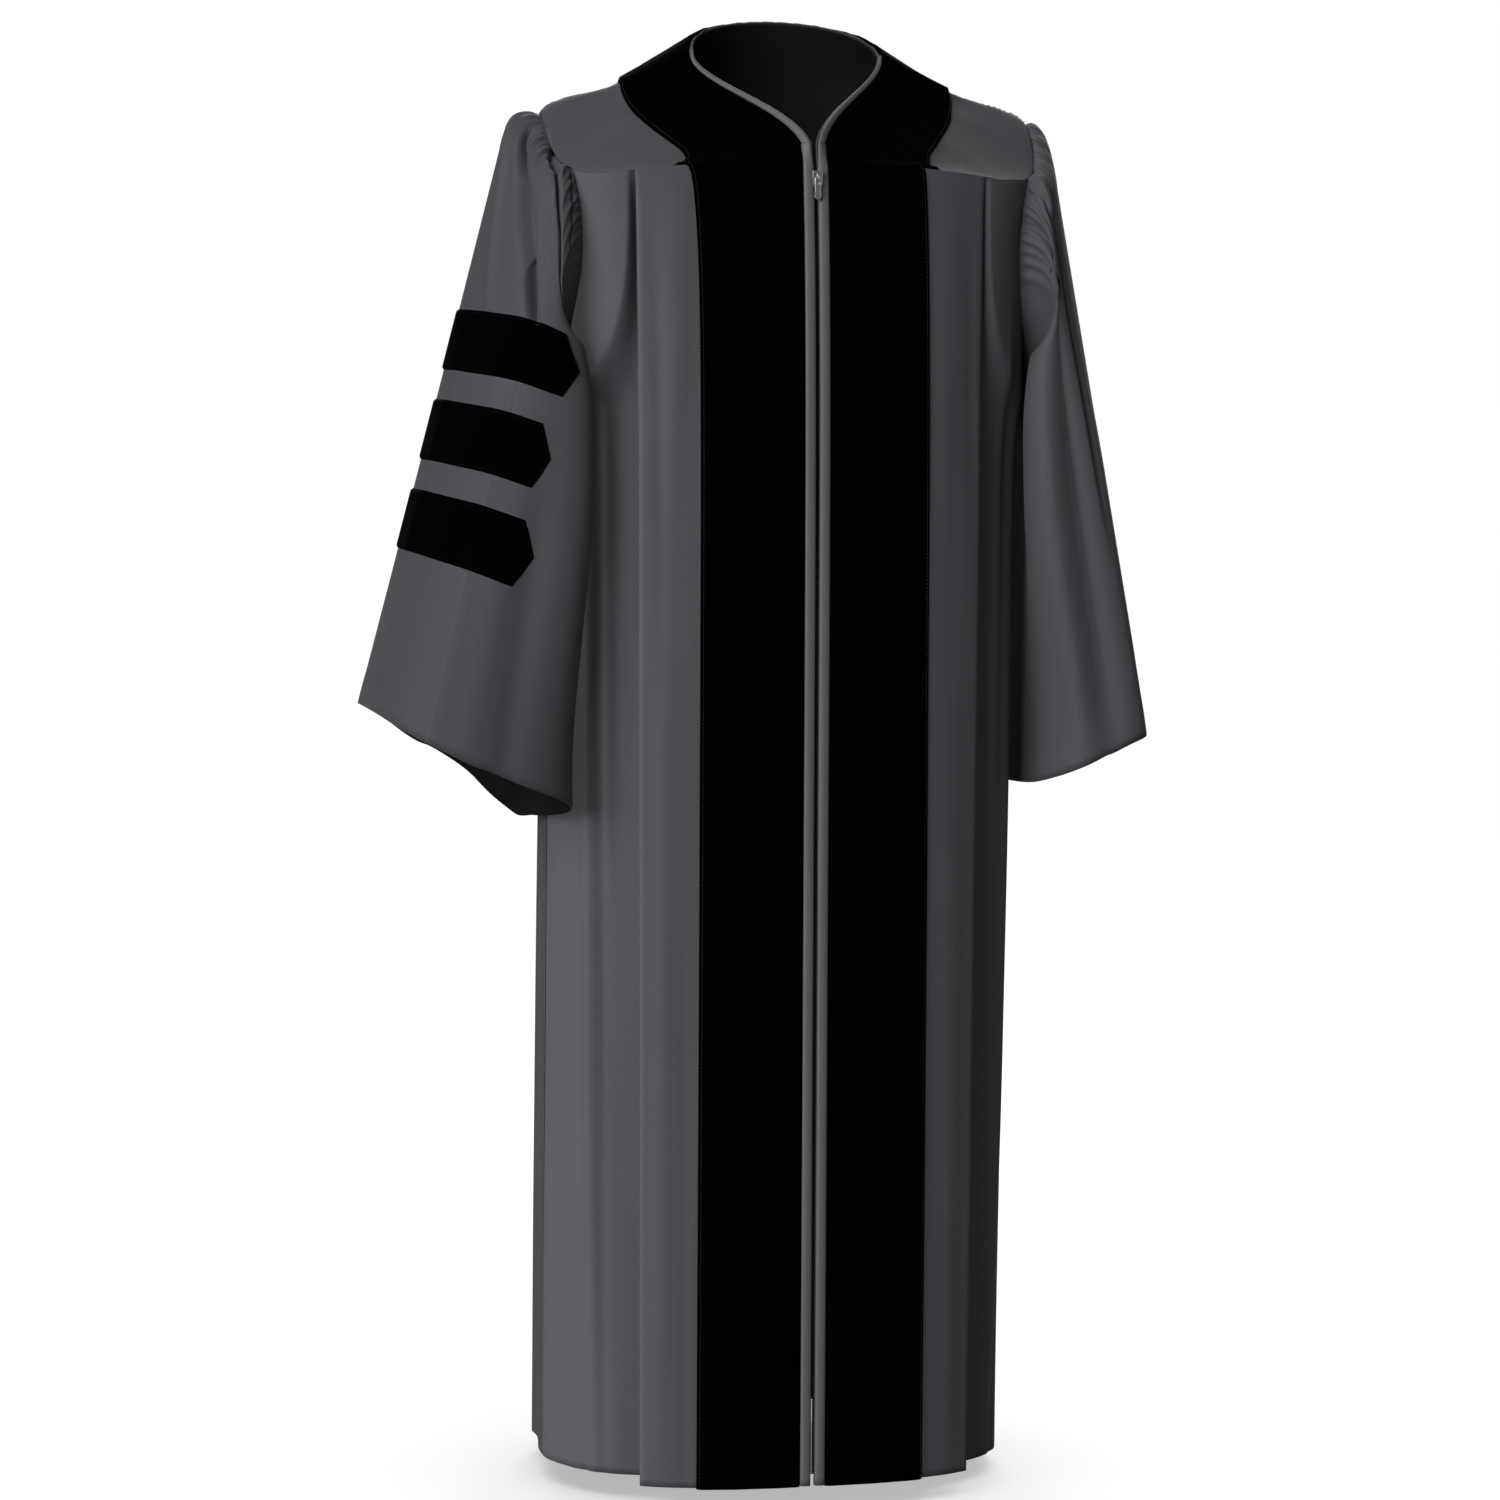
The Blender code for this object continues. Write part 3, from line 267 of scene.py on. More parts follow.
def body_form(turn, level):
    """Points of the body form: turn 0 is the centre front, 90 the wearer's left."""
    turn, level = np.broadcast_arrays(np.asarray(turn, float), np.asarray(level, float))
    ring = {name: through(values, level) for name, values in BODY.items()}
    sine, cosine = np.sin(np.radians(turn)), np.cos(np.radians(turn))
    away = np.abs((turn + 180.0) % 360.0 - 180.0)
    ahead, astern = np.clip(cosine, 0.0, 1.0), np.clip(-cosine, 0.0, 1.0)
    front_x = ring["half_width"] * np.abs(sine) ** ring["sin_power"]
    front_y = -ring["front_depth"] * ahead ** ring["cos_power"]
    rise = (np.clip(away, 0.0, 90.0) / 90.0) ** ring["front_rise"]
    front_z = ring["front_z"] + (ring["side_z"] - ring["front_z"]) * rise
    front_z = front_z - ring["dip"] * ease(away / 60.0) * (1.0 - rise)
    front_z = front_z - ring["drop"] * (1.0 - ease(away / 16.0))
    back_x = ring["half_width"] * np.abs(sine) ** ring["back_power"]
    back_y = ring["back_depth"] * astern ** ring["back_power"]
    lift = (np.clip(180.0 - away, 0.0, 90.0) / 90.0) ** ring["back_rise"]
    back_z = ring["back_z"] + (ring["side_z"] - ring["back_z"]) * lift
    front = cosine >= 0.0
    x = np.copysign(np.where(front, front_x, back_x), sine)
    return np.stack([x, np.where(front, front_y, back_y), np.where(front, front_z, back_z)], axis=-1)


def turn_at(x, level):
    """Turn on the front of a ring at which it is x from the middle."""
    width, power = through(BODY["half_width"], level), through(BODY["sin_power"], level)
    return np.degrees(np.arcsin(np.minimum(1.0, x / width) ** (1.0 / power)))


def armhole_turn(level):
    part = np.clip((level - YOKE) / (UNDERARM - YOKE), 0.0, 1.0)
    return ARMHOLE_TURN - 2.0 * np.sin(np.pi * part) + (90.0 - ARMHOLE_TURN) * part ** 3.5


def outward_at(turn, level):
    flat = body_form(turn + 0.5, level) - body_form(turn - 0.5, level)
    outward = np.stack([flat[..., 1], -flat[..., 0], np.zeros_like(flat[..., 0])], axis=-1)
    return outward / np.linalg.norm(outward, axis=-1, keepdims=True)


def grid_normals(points, closed=False):
    """Unit normals of a grid of points, rows by columns."""
    down = np.gradient(points, axis=0)
    if closed:
        across = np.roll(points, -1, axis=1) - np.roll(points, 1, axis=1)
    else:
        across = np.gradient(points, axis=1)
    normals = np.cross(down, across)
    return normals / np.maximum(np.linalg.norm(normals, axis=2, keepdims=True), 1e-12)


def mirror(side, grid, normals):
    """Turns a grid made for the wearer's left into one for the named side."""
    if side == "left":
        return grid, normals
    flip = np.array([-1.0, 1.0, 1.0])
    return (grid * flip)[:, ::-1], (normals * flip)[:, ::-1]


def ripple(points, height, pitch, seed):
    """Slow uneven waves of hanging cloth, longer down than across."""
    x, y, z = points[..., 0], points[..., 1], points[..., 2]
    around = np.arctan2(x, -y) * 0.24
    waves = np.sin(around / pitch * 6.283 + seed + 2.1 * np.sin(z * 3.1 + seed * 1.7))
    waves = waves + 0.6 * np.sin(around / pitch * 10.9 + seed * 2.3 + 1.4 * np.sin(z * 5.3 - seed))
    waves = waves + 0.25 * np.sin(around / pitch * 3.1 + z * 15.0 + seed * 0.7)
    return waves * height


# Meshes

def make_shell(name, points, normals, up, down, material, closed=False, inside=None):
    """Closed wall from down below to up above a grid of points, with a cloth map in metres."""
    rows, columns = points.shape[:2]
    up = np.broadcast_to(np.asarray(up, float), (rows, columns))[..., None]
    down = np.broadcast_to(np.asarray(down, float), (rows, columns))[..., None]
    vertices = np.concatenate([(points + normals * up).reshape(-1, 3), (points - normals * down).reshape(-1, 3)])
    index = np.arange(rows * columns).reshape(rows, columns)
    beside = np.roll(index, -1, axis=1) if closed else index[:, 1:]
    here = index if closed else index[:, :-1]
    a, b, c, d = here[:-1], beside[:-1], beside[1:], here[1:]
    outer = np.stack([a, d, c, b], axis=-1).reshape(-1, 4)
    under = rows * columns
    inner = outer[:, ::-1] + under
    top_rim = np.stack([here[0], beside[0], beside[0] + under, here[0] + under], axis=-1)
    foot_rim = np.stack([beside[-1], here[-1], here[-1] + under, beside[-1] + under], axis=-1)
    quads = [outer, inner, top_rim, foot_rim]
    if not closed:
        left, right = index[:, 0], index[:, -1]
        quads.append(np.stack([left[1:], left[:-1], left[:-1] + under, left[1:] + under], axis=-1))
        quads.append(np.stack([right[:-1], right[1:], right[1:] + under, right[:-1] + under], axis=-1))
    quads = np.concatenate(quads)
    mesh = bpy.data.meshes.new(name)
    mesh.from_pydata(vertices.tolist(), [], quads.tolist())
    mesh.update()
    across = np.zeros((rows, columns))
    across[:, 1:] = np.cumsum(np.linalg.norm(np.diff(points, axis=1), axis=2), axis=1)
    along = np.zeros((rows, columns))
    along[1:] = np.cumsum(np.linalg.norm(np.diff(points, axis=0), axis=2), axis=0)
    middle = columns // 2
    flat_u = (across - across[:, middle:middle + 1]).reshape(-1)
    flat_v = -along.reshape(-1)
    layer = mesh.uv_layers.new(name="cloth")
    corners = np.empty(len(mesh.loops), dtype=np.int32)
    mesh.loops.foreach_get("vertex_index", corners)
    corners = corners % under
    layer.data.foreach_set("uv", np.stack([flat_u[corners], flat_v[corners]], axis=-1).reshape(-1))
    mesh.shade_smooth()
    thing = show(name, mesh, material)
    # The inner faces take the second material; for the suiting this is the darker inside twill, painted shade of the
    # cloth's hollow side.
    if inside is not None:
        mesh.materials.append(inside)
        under_faces = np.zeros(len(quads), dtype=np.int32)
        under_faces[len(outer):2 * len(outer)] = 1
        mesh.polygons.foreach_set("material_index", under_faces)
    return thing


def show(name, mesh, material):
    thing = bpy.data.objects.new(name, mesh)
    bpy.context.scene.collection.objects.link(thing)
    mesh.materials.clear()
    mesh.materials.append(material)
    return thing


def put(thing, slot, *nodes, body="gown"):
    """Rides a piece on its body in place of its plain solids."""
    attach(thing, body)
    if nodes:
        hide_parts(*nodes)
    return thing


# Materials

def node_group(name, inputs, outputs):
    group = bpy.data.node_groups.new(name, "ShaderNodeTree")
    for label, kind, value in inputs:
        socket = group.interface.new_socket(name=label, in_out="INPUT", socket_type="NodeSocket" + kind)
        socket.default_value = value
    for label, kind in outputs:
        group.interface.new_socket(name=label, in_out="OUTPUT", socket_type="NodeSocket" + kind)
    return group, group.nodes.new("NodeGroupInput"), group.nodes.new("NodeGroupOutput")


def math_node(tree, operation, first, second=0.0):
    node = tree.nodes.new("ShaderNodeMath")
    node.operation = operation
    for place, value in enumerate((first, second)):
        if isinstance(value, (int, float)):
            node.inputs[place].default_value = value
        else:
            tree.links.new(value, node.inputs[place])
    return node.outputs[0]


def noise_node(tree, vector, scale, detail=2.0):
    node = tree.nodes.new("ShaderNodeTexNoise")
    node.inputs["Scale"].default_value = scale
    node.inputs["Detail"].default_value = detail
    tree.links.new(vector, node.inputs["Vector"])
    return node.outputs["Fac"]


def tinted(tree, colour, amount):
    """A colour made lighter or darker by an amount that changes over the surface."""
    node = tree.nodes.new("ShaderNodeVectorMath")
    node.operation = "SCALE"
    tree.links.new(colour, node.inputs[0])
    tree.links.new(amount, node.inputs["Scale"])
    return node.outputs[0]


def twill_group():
    """Fine diagonal rib of a twill with slubs, read on the cloth map in metres."""
    name = "twill weave"
    if name in bpy.data.node_groups:
        return bpy.data.node_groups[name]
    group, start, end = node_group(
        name,
        (("Colour", "Color", (0.1, 0.1, 0.1, 1.0)), ("Pitch", "Float", 0.0007), ("Contrast", "Float", 0.2)),
        (("Colour", "Color"), ("Height", "Float"), ("Roughness", "Float")))
    cloth = group.nodes.new("ShaderNodeUVMap")
    cloth.uv_map = "cloth"
    parts = group.nodes.new("ShaderNodeSeparateXYZ")
    group.links.new(cloth.outputs[0], parts.inputs[0])
    turns = math_node(group, "DIVIDE", 6.2832, start.outputs["Pitch"])
    slant = math_node(group, "ADD", parts.outputs[0], math_node(group, "MULTIPLY", parts.outputs[1], 0.6))
    rib = math_node(group, "SINE", math_node(group, "MULTIPLY", slant, turns))
    yarn = math_node(group, "SINE", math_node(group, "MULTIPLY", parts.outputs[1], turns))
    stretched = group.nodes.new("ShaderNodeMapping")
    stretched.inputs["Scale"].default_value = (3.0, 1.0, 1.0)
    group.links.new(cloth.outputs[0], stretched.inputs["Vector"])
    slub = noise_node(group, stretched.outputs[0], 260.0, 3.0)
    cloud = noise_node(group, cloth.outputs[0], 9.0, 2.0)
    weave = math_node(group, "ADD", math_node(group, "MULTIPLY", rib, 0.6), math_node(group, "MULTIPLY", yarn, 0.3))
    speck = math_node(group, "SUBTRACT", slub, 0.5)
    tone = math_node(group, "ADD", math_node(group, "MULTIPLY", weave, 0.25), math_node(group, "MULTIPLY", speck, 1.1))
    tone = math_node(group, "ADD", tone, math_node(group, "MULTIPLY", math_node(group, "SUBTRACT", cloud, 0.5), 0.45))
    tone = math_node(group, "ADD", math_node(group, "MULTIPLY", tone, start.outputs["Contrast"]), 1.0)
    group.links.new(tinted(group, start.outputs["Colour"], tone), end.inputs["Colour"])
    height = math_node(group, "ADD", math_node(group, "MULTIPLY", weave, 0.5), math_node(group, "MULTIPLY", speck, 1.5))
    group.links.new(height, end.inputs["Height"])
    group.links.new(math_node(group, "ADD", math_node(group, "MULTIPLY", speck, 0.3), 0.62), end.inputs["Roughness"])
    return group


def pile_group():
    """Velvet pile: tiny tufts and brushed patches of lighter and darker nap."""
    name = "velvet pile"
    if name in bpy.data.node_groups:
        return bpy.data.node_groups[name]
    group, start, end = node_group(
        name, (("Colour", "Color", (0.01, 0.01, 0.01, 1.0)), ("Nap", "Float", 0.5)),
        (("Colour", "Color"), ("Height", "Float")))
    cloth = group.nodes.new("ShaderNodeUVMap")
    cloth.uv_map = "cloth"
    brushed = group.nodes.new("ShaderNodeMapping")
    brushed.inputs["Scale"].default_value = (1.0, 0.35, 1.0)
    group.links.new(cloth.outputs[0], brushed.inputs["Vector"])
    patch = noise_node(group, brushed.outputs[0], 22.0, 3.0)
    tuft = noise_node(group, cloth.outputs[0], 900.0, 1.0)
    tone = math_node(group, "MULTIPLY", math_node(group, "SUBTRACT", patch, 0.5), 2.4)
    tone = math_node(group, "ADD", tone, math_node(group, "SUBTRACT", tuft, 0.5))
    tone = math_node(group, "ADD", math_node(group, "MULTIPLY", tone, start.outputs["Nap"]), 1.0)
    group.links.new(tinted(group, start.outputs["Colour"], tone), end.inputs["Colour"])
    group.links.new(tuft, end.inputs["Height"])
    return group


def new_material(name, roughness, metallic=0.0, sheen=0.0, sheen_roughness=0.5, specular=0.5):
    material = bpy.data.materials.new(name)
    material.use_nodes = True
    shader = material.node_tree.nodes["Principled BSDF"]
    shader.inputs["Roughness"].default_value = roughness
    shader.inputs["Metallic"].default_value = metallic
    shader.inputs["Sheen Weight"].default_value = sheen
    shader.inputs["Sheen Roughness"].default_value = sheen_roughness
    shader.inputs["Specular IOR Level"].default_value = specular
    return material, material.node_tree, shader


def bump_to(tree, shader, height, strength, distance):
    bump = tree.nodes.new("ShaderNodeBump")
    bump.inputs["Strength"].default_value = strength
    bump.inputs["Distance"].default_value = distance
    tree.links.new(height, bump.inputs["Height"])
    tree.links.new(bump.outputs[0], shader.inputs["Normal"])


def twill_material(name, colour, pitch, contrast, sheen, specular, bump):
    if name in bpy.data.materials:
        return bpy.data.materials[name]
    material, tree, shader = new_material(name, 0.6, sheen=sheen, sheen_roughness=0.35, specular=specular)
    weave = tree.nodes.new("ShaderNodeGroup")
    weave.node_tree = twill_group()
    weave.inputs["Colour"].default_value = (*colour, 1.0)
    weave.inputs["Pitch"].default_value = pitch
    weave.inputs["Contrast"].default_value = contrast
    tree.links.new(weave.outputs["Colour"], shader.inputs["Base Color"])
    tree.links.new(weave.outputs["Roughness"], shader.inputs["Roughness"])
    bump_to(tree, shader, weave.outputs["Height"], bump, 0.0002)
    return material


def suiting():
    return twill_material("charcoal twill", colours().suiting, sizes().weave, 0.22, 0.06, 0.24, 0.55)


# Inner faces of the suiting, painted far darker than its outside: this is painted shade inside the sleeves, fronts and
# back, not a darker cloth.
def painted_shade_inside():
    return twill_material("wrong side of the twill", (0.0050, 0.0049, 0.0055), sizes().weave, 0.25, 0.0, 0.10, 0.5)


def satin():
    return twill_material("piping satin", colours().piping, 0.0005, 0.12, 0.05, 0.60, 0.25)


# Near-black lining: partly its own dark colour, partly painted shade of the neck's hollow.
def lining_cloth():
    return twill_material("neck lining", colours().lining, 0.0004, 0.10, 0.02, 0.22, 0.15)


def tape_cloth():
    return twill_material("zip tape", (0.006, 0.006, 0.007), 0.0008, 0.25, 0.02, 0.20, 0.60)


def velvet_material(name, colour, nap, sheen):
    if name in bpy.data.materials:
        return bpy.data.materials[name]
    material, tree, shader = new_material(name, 1.0, sheen=sheen, sheen_roughness=0.28, specular=0.015)
    shader.inputs["Sheen Tint"].default_value = (0.55, 0.55, 0.62, 1.0)
    pile = tree.nodes.new("ShaderNodeGroup")
    pile.node_tree = pile_group()
    pile.inputs["Colour"].default_value = (*colour, 1.0)
    pile.inputs["Nap"].default_value = nap
    tree.links.new(pile.outputs["Colour"], shader.inputs["Base Color"])
    bump_to(tree, shader, pile.outputs["Height"], 0.5, 0.0004)
    return material


def band_velvet():
    return velvet_material("black velvet", colours().velvet, 0.5, 0.004)


def bar_velvet():
    return velvet_material("bar velvet", colours().bars, 0.6, 0.006)


def metal_material():
    """Worn nickel plate with fine scratches."""
    name = "nickel plate"
    if name in bpy.data.materials:
        return bpy.data.materials[name]
    material, tree, shader = new_material(name, 0.24, metallic=1.0)
    place = tree.nodes.new("ShaderNodeTexCoord")
    cloud = noise_node(tree, place.outputs["Object"], 420.0, 3.0)
    shade = tree.nodes.new("ShaderNodeRGB")
    shade.outputs[0].default_value = (*colours().metal, 1.0)
    tone = math_node(tree, "ADD", math_node(tree, "MULTIPLY", cloud, 0.3), 0.85)
    tree.links.new(tinted(tree, shade.outputs[0], tone), shader.inputs["Base Color"])
    rough = math_node(tree, "ADD", math_node(tree, "MULTIPLY", cloud, 0.22), 0.12)
    tree.links.new(rough, shader.inputs["Roughness"])
    bump_to(tree, shader, cloud, 0.12, 0.0001)
    return material


def thread_material(name, colour):
    """Twisted sewing thread."""
    if name in bpy.data.materials:
        return bpy.data.materials[name]
    material, tree, shader = new_material(name, 0.7, sheen=0.1, specular=0.3)
    place = tree.nodes.new("ShaderNodeTexCoord")
    twist = noise_node(tree, place.outputs["Object"], 2400.0, 1.0)
    shade = tree.nodes.new("ShaderNodeRGB")
    shade.outputs[0].default_value = (*colour, 1.0)
    tone = math_node(tree, "ADD", math_node(tree, "MULTIPLY", twist, 0.5), 0.75)
    tree.links.new(tinted(tree, shade.outputs[0], tone), shader.inputs["Base Color"])
    bump_to(tree, shader, twist, 0.3, 0.0001)
    return material


# Yoke and the strip of velvet and piping along every edge

def velvet_edge(side, level):
    """Half width to the outer edge of the velvet on a front."""
    return VELVET_EDGE + VELVET_FLARE[side] * math.exp(-((level - YOKE) / 0.55))


def rung_line(side, place, count):
    """Points of a rung from the neck edge to the edge of the velvet, and its border turn."""
    row = {name: float(through(values, place)) for name, values in RUNG.items()}
    inner = max(row["inner"], float(turn_at(FRONT_GAP, row["inner_level"])))
    edge = float(turn_at(velvet_edge(side, YOKE), YOKE))
    outer = row["outer"] + (edge - RUNG["outer"][0]) * max(0.0, 1.0 - place)
    t = np.linspace(0.0, 1.0, count)
    turns = inner + (outer - inner) * t
    levels = row["inner_level"] + (row["outer_level"] - row["inner_level"]) * t
    return row, outer, turns, levels


RUNG_PLACES = np.concatenate([np.linspace(0.0, 3.0, 31), np.linspace(3.0, 14.0, 89)[1:]])
FRONT_LEVELS = np.concatenate([np.linspace(YOKE, 2.2, 10), np.linspace(2.2, UNDERARM, 64)[1:],
                               np.linspace(UNDERARM, HEM, 150)[1:]])


def yoke_grid():
    """Whole yoke with the neck at its first row, seam and border at its last."""
    columns = []
    for place in RUNG_PLACES:
        row, outer, turns, levels = rung_line("left", place, 22)
        part = np.concatenate([np.linspace(0.0, 0.15, 9)[1:], np.linspace(0.15, 1.0, 16)[1:]])
        turns = np.concatenate([turns, outer + (row["border"] - outer) * part])
        levels = np.concatenate([levels, row["outer_level"] + (YOKE - row["outer_level"]) * part])
        columns.append(body_form(turns, levels))
    half = np.array(columns).transpose(1, 0, 2)
    half[:, 0, 2] += SEAM_GAP
    mirrored = half[:, -2::-1] * np.array([-1.0, 1.0, 1.0])
    points = np.concatenate([half, mirrored], axis=1)
    return points, grid_normals(points)


def strip_rows(side):
    """Fine rows across the velvet strip from the centre back over the shoulder to the hem."""
    rows, widths = [], []
    for place in RUNG_PLACES[::-1]:
        row, outer, turns, levels = rung_line(side, place, 60)
        rows.append(body_form(turns, levels))
        widths.append(row["piping"])
    for level in FRONT_LEVELS[1:]:
        turns = np.linspace(float(turn_at(FRONT_GAP, level)), float(turn_at(velvet_edge(side, level), level)), 60)
        rows.append(body_form(turns, level))
        widths.append(PIPING_WIDTH)
    return rows, widths


def strip_grid(side, first, last, count):
    """Strip between two places of each row: 0 is the edge, 1 the piping, 2 the velvet's edge."""
    rows, widths = strip_rows(side)
    grid = []
    for row, width in zip(rows, widths):
        lengths = lengths_along(row)
        knots = (0.0, min(width, lengths[-1] * 0.9), lengths[-1])
        start, end = np.interp((first, last), (0.0, 1.0, 2.0), knots)
        places = np.linspace(start, end, count)
        grid.append(np.stack([np.interp(places, lengths, row[:, axis]) for axis in range(3)], axis=-1))
    grid = np.array(grid)
    return grid, grid_normals(grid)


def rounded_edges(points, radius):
    """0 to 1 rise of a soft rolled edge on the two long sides of a grid."""
    across = np.zeros(points.shape[:2])
    across[:, 1:] = np.cumsum(np.linalg.norm(np.diff(points, axis=1), axis=2), axis=1)
    near = np.minimum(across, across[:, -1:] - across)
    part = np.clip(near / radius, 0.0, 1.0)
    return np.sqrt(1.0 - (1.0 - part) ** 2)


class GOWN_OT_yoke(bpy.types.Operator):
    """Adds the yoke over both shoulders."""
    bl_idname = "gown.yoke"
    bl_label = "Yoke"

    def execute(self, context):
        points, normals = yoke_grid()
        points = points + normals * ripple(points, 0.00035, 0.06, 1.3)[..., None]
        cloth = sizes().cloth
        rise = np.zeros(points.shape[:2])
        rise[-3:] = np.array([0.0001, 0.0002, 0.0001])[:, None]
        yoke = make_shell("yoke_cloth", points, normals, cloth / 2.0 + rise, cloth / 2.0, suiting())
        put(yoke, "suiting", "yoke")
        return {"FINISHED"}


class GOWN_OT_velvet(bpy.types.Operator):
    """Adds the velvet bands from the centre back neck to the hem."""
    bl_idname = "gown.velvet"
    bl_label = "Velvet bands"

    def execute(self, context):
        for side in ("right", "left"):
            points, normals = strip_grid(side, 0.985, 2.0, 26)
            wave = ripple(points, 0.00028, 0.05, 4.1 if side == "left" else 2.2)
            points = points + normals * (wave + 0.0008)[..., None]
            points[-1, :, 2] -= 0.0010
            high = 0.0006 + sizes().velvet * rounded_edges(points, 0.0030)
            points, normals = mirror(side, points, normals)
            high = high if side == "left" else high[:, ::-1]
            band = make_shell("velvet_band_" + side, points, normals, high, 0.0003, band_velvet())
            put(band, "velvet", "velvet_" + side)
        return {"FINISHED"}


class GOWN_OT_piping(bpy.types.Operator):
    """Adds the rolled satin piping beside the zip and the front neck."""
    bl_idname = "gown.piping"
    bl_label = "Piping"

    def execute(self, context):
        for side in ("right", "left"):
            points, normals = strip_grid(side, 0.0, 1.0, 2)
            skipped = int(np.sum(RUNG_PLACES > SHOULDER_RUNG))
            points, normals = points[skipped:], normals[skipped:]
            width = np.linalg.norm(points[:, 1] - points[:, 0], axis=1)
            across = (points[:, 1] - points[:, 0]) / width[:, None]
            middle = points.mean(axis=1)
            normal = normals.mean(axis=1)
            high = PIPING_HEIGHT * (0.45 + 0.55 * np.minimum(1.0, width / PIPING_WIDTH))
            angles = np.linspace(0.0, 2.0 * np.pi, 20, endpoint=False)
            wide = np.sign(np.cos(angles)) * np.abs(np.cos(angles)) ** 0.85
            tall = np.sign(np.sin(angles)) * np.abs(np.sin(angles)) ** 0.85
            half = width / 2.0 * 0.97
            rings = (middle[:, None] + normal[:, None] * (0.0006 + high[:, None, None] * 0.50)
                     + across[:, None] * (wide[None, :, None] * half[:, None, None])
                     + normal[:, None] * (tall[None, :, None] * high[:, None, None] * 0.56))
            ways = rings - (middle + normal * (0.0006 + high[:, None] * 0.5))[:, None]
            ways /= np.linalg.norm(ways, axis=2, keepdims=True)
            flip = np.array([-1.0, 1.0, 1.0])
            if side == "right":
                rings, ways = rings * flip, ways * flip
                rings, ways = rings[:, ::-1], ways[:, ::-1]
            roll = make_tube("piping_roll_" + side, rings, satin())
            put(roll, "piping", "piping_" + side)
        return {"FINISHED"}


def make_tube(name, rings, material):
    """Closed tube through rings of points, outwards whichever way the rings turn."""
    rows, columns = rings.shape[:2]
    index = np.arange(rows * columns).reshape(rows, columns)
    beside = np.roll(index, -1, axis=1)
    quads = np.stack([index[:-1], index[1:], beside[1:], beside[:-1]], axis=-1).reshape(-1, 4).tolist()
    quads += [tuple(index[0].tolist()), tuple(index[-1][::-1].tolist())]
    mesh = bpy.data.meshes.new(name)
    mesh.from_pydata(rings.reshape(-1, 3).tolist(), [], quads)
    mesh.update()
    centre = rings[rows // 2].mean(axis=0)
    face = mesh.polygons[(rows // 2) * columns]
    if face.normal.dot(face.center - Vector(centre)) < 0.0:
        mesh.flip_normals()
    around = np.linspace(0.0, 0.02, columns)
    along = lengths_along(rings.mean(axis=1))
    layer = mesh.uv_layers.new(name="cloth")
    corners = np.empty(len(mesh.loops), dtype=np.int32)
    mesh.loops.foreach_get("vertex_index", corners)
    flat = np.stack([around[corners % columns], along[corners // columns]], axis=-1)
    layer.data.foreach_set("uv", flat.reshape(-1))
    mesh.shade_smooth()
    return show(name, mesh, material)


class GOWN_OT_lining(bpy.types.Operator):
    """Adds the smooth lining inside the back of the neck; its near-black colour is partly the lining's own and partly
    painted shade of the neck's hollow.
    """
    bl_idname = "gown.lining"
    bl_label = "Neck lining"

    def execute(self, context):
        points, normals = yoke_grid()
        first = int(np.sum(RUNG_PLACES < 7.5))
        points, normals = points[:, first:-first], normals[:, first:-first]
        lining = make_shell("neck_lining_cloth", points, normals, -0.0009, 0.0020, lining_cloth())
        put(lining, "lining", "neck_lining")
        return {"FINISHED"}


# Fronts and back

def pleat_depth(side, level):
    yoke, chest, hem = PLEAT_DEPTH[side]
    part = (level - YOKE) / (HEM - YOKE)
    return np.interp(part, (0.0, 0.2, 1.0), (yoke, chest, hem))


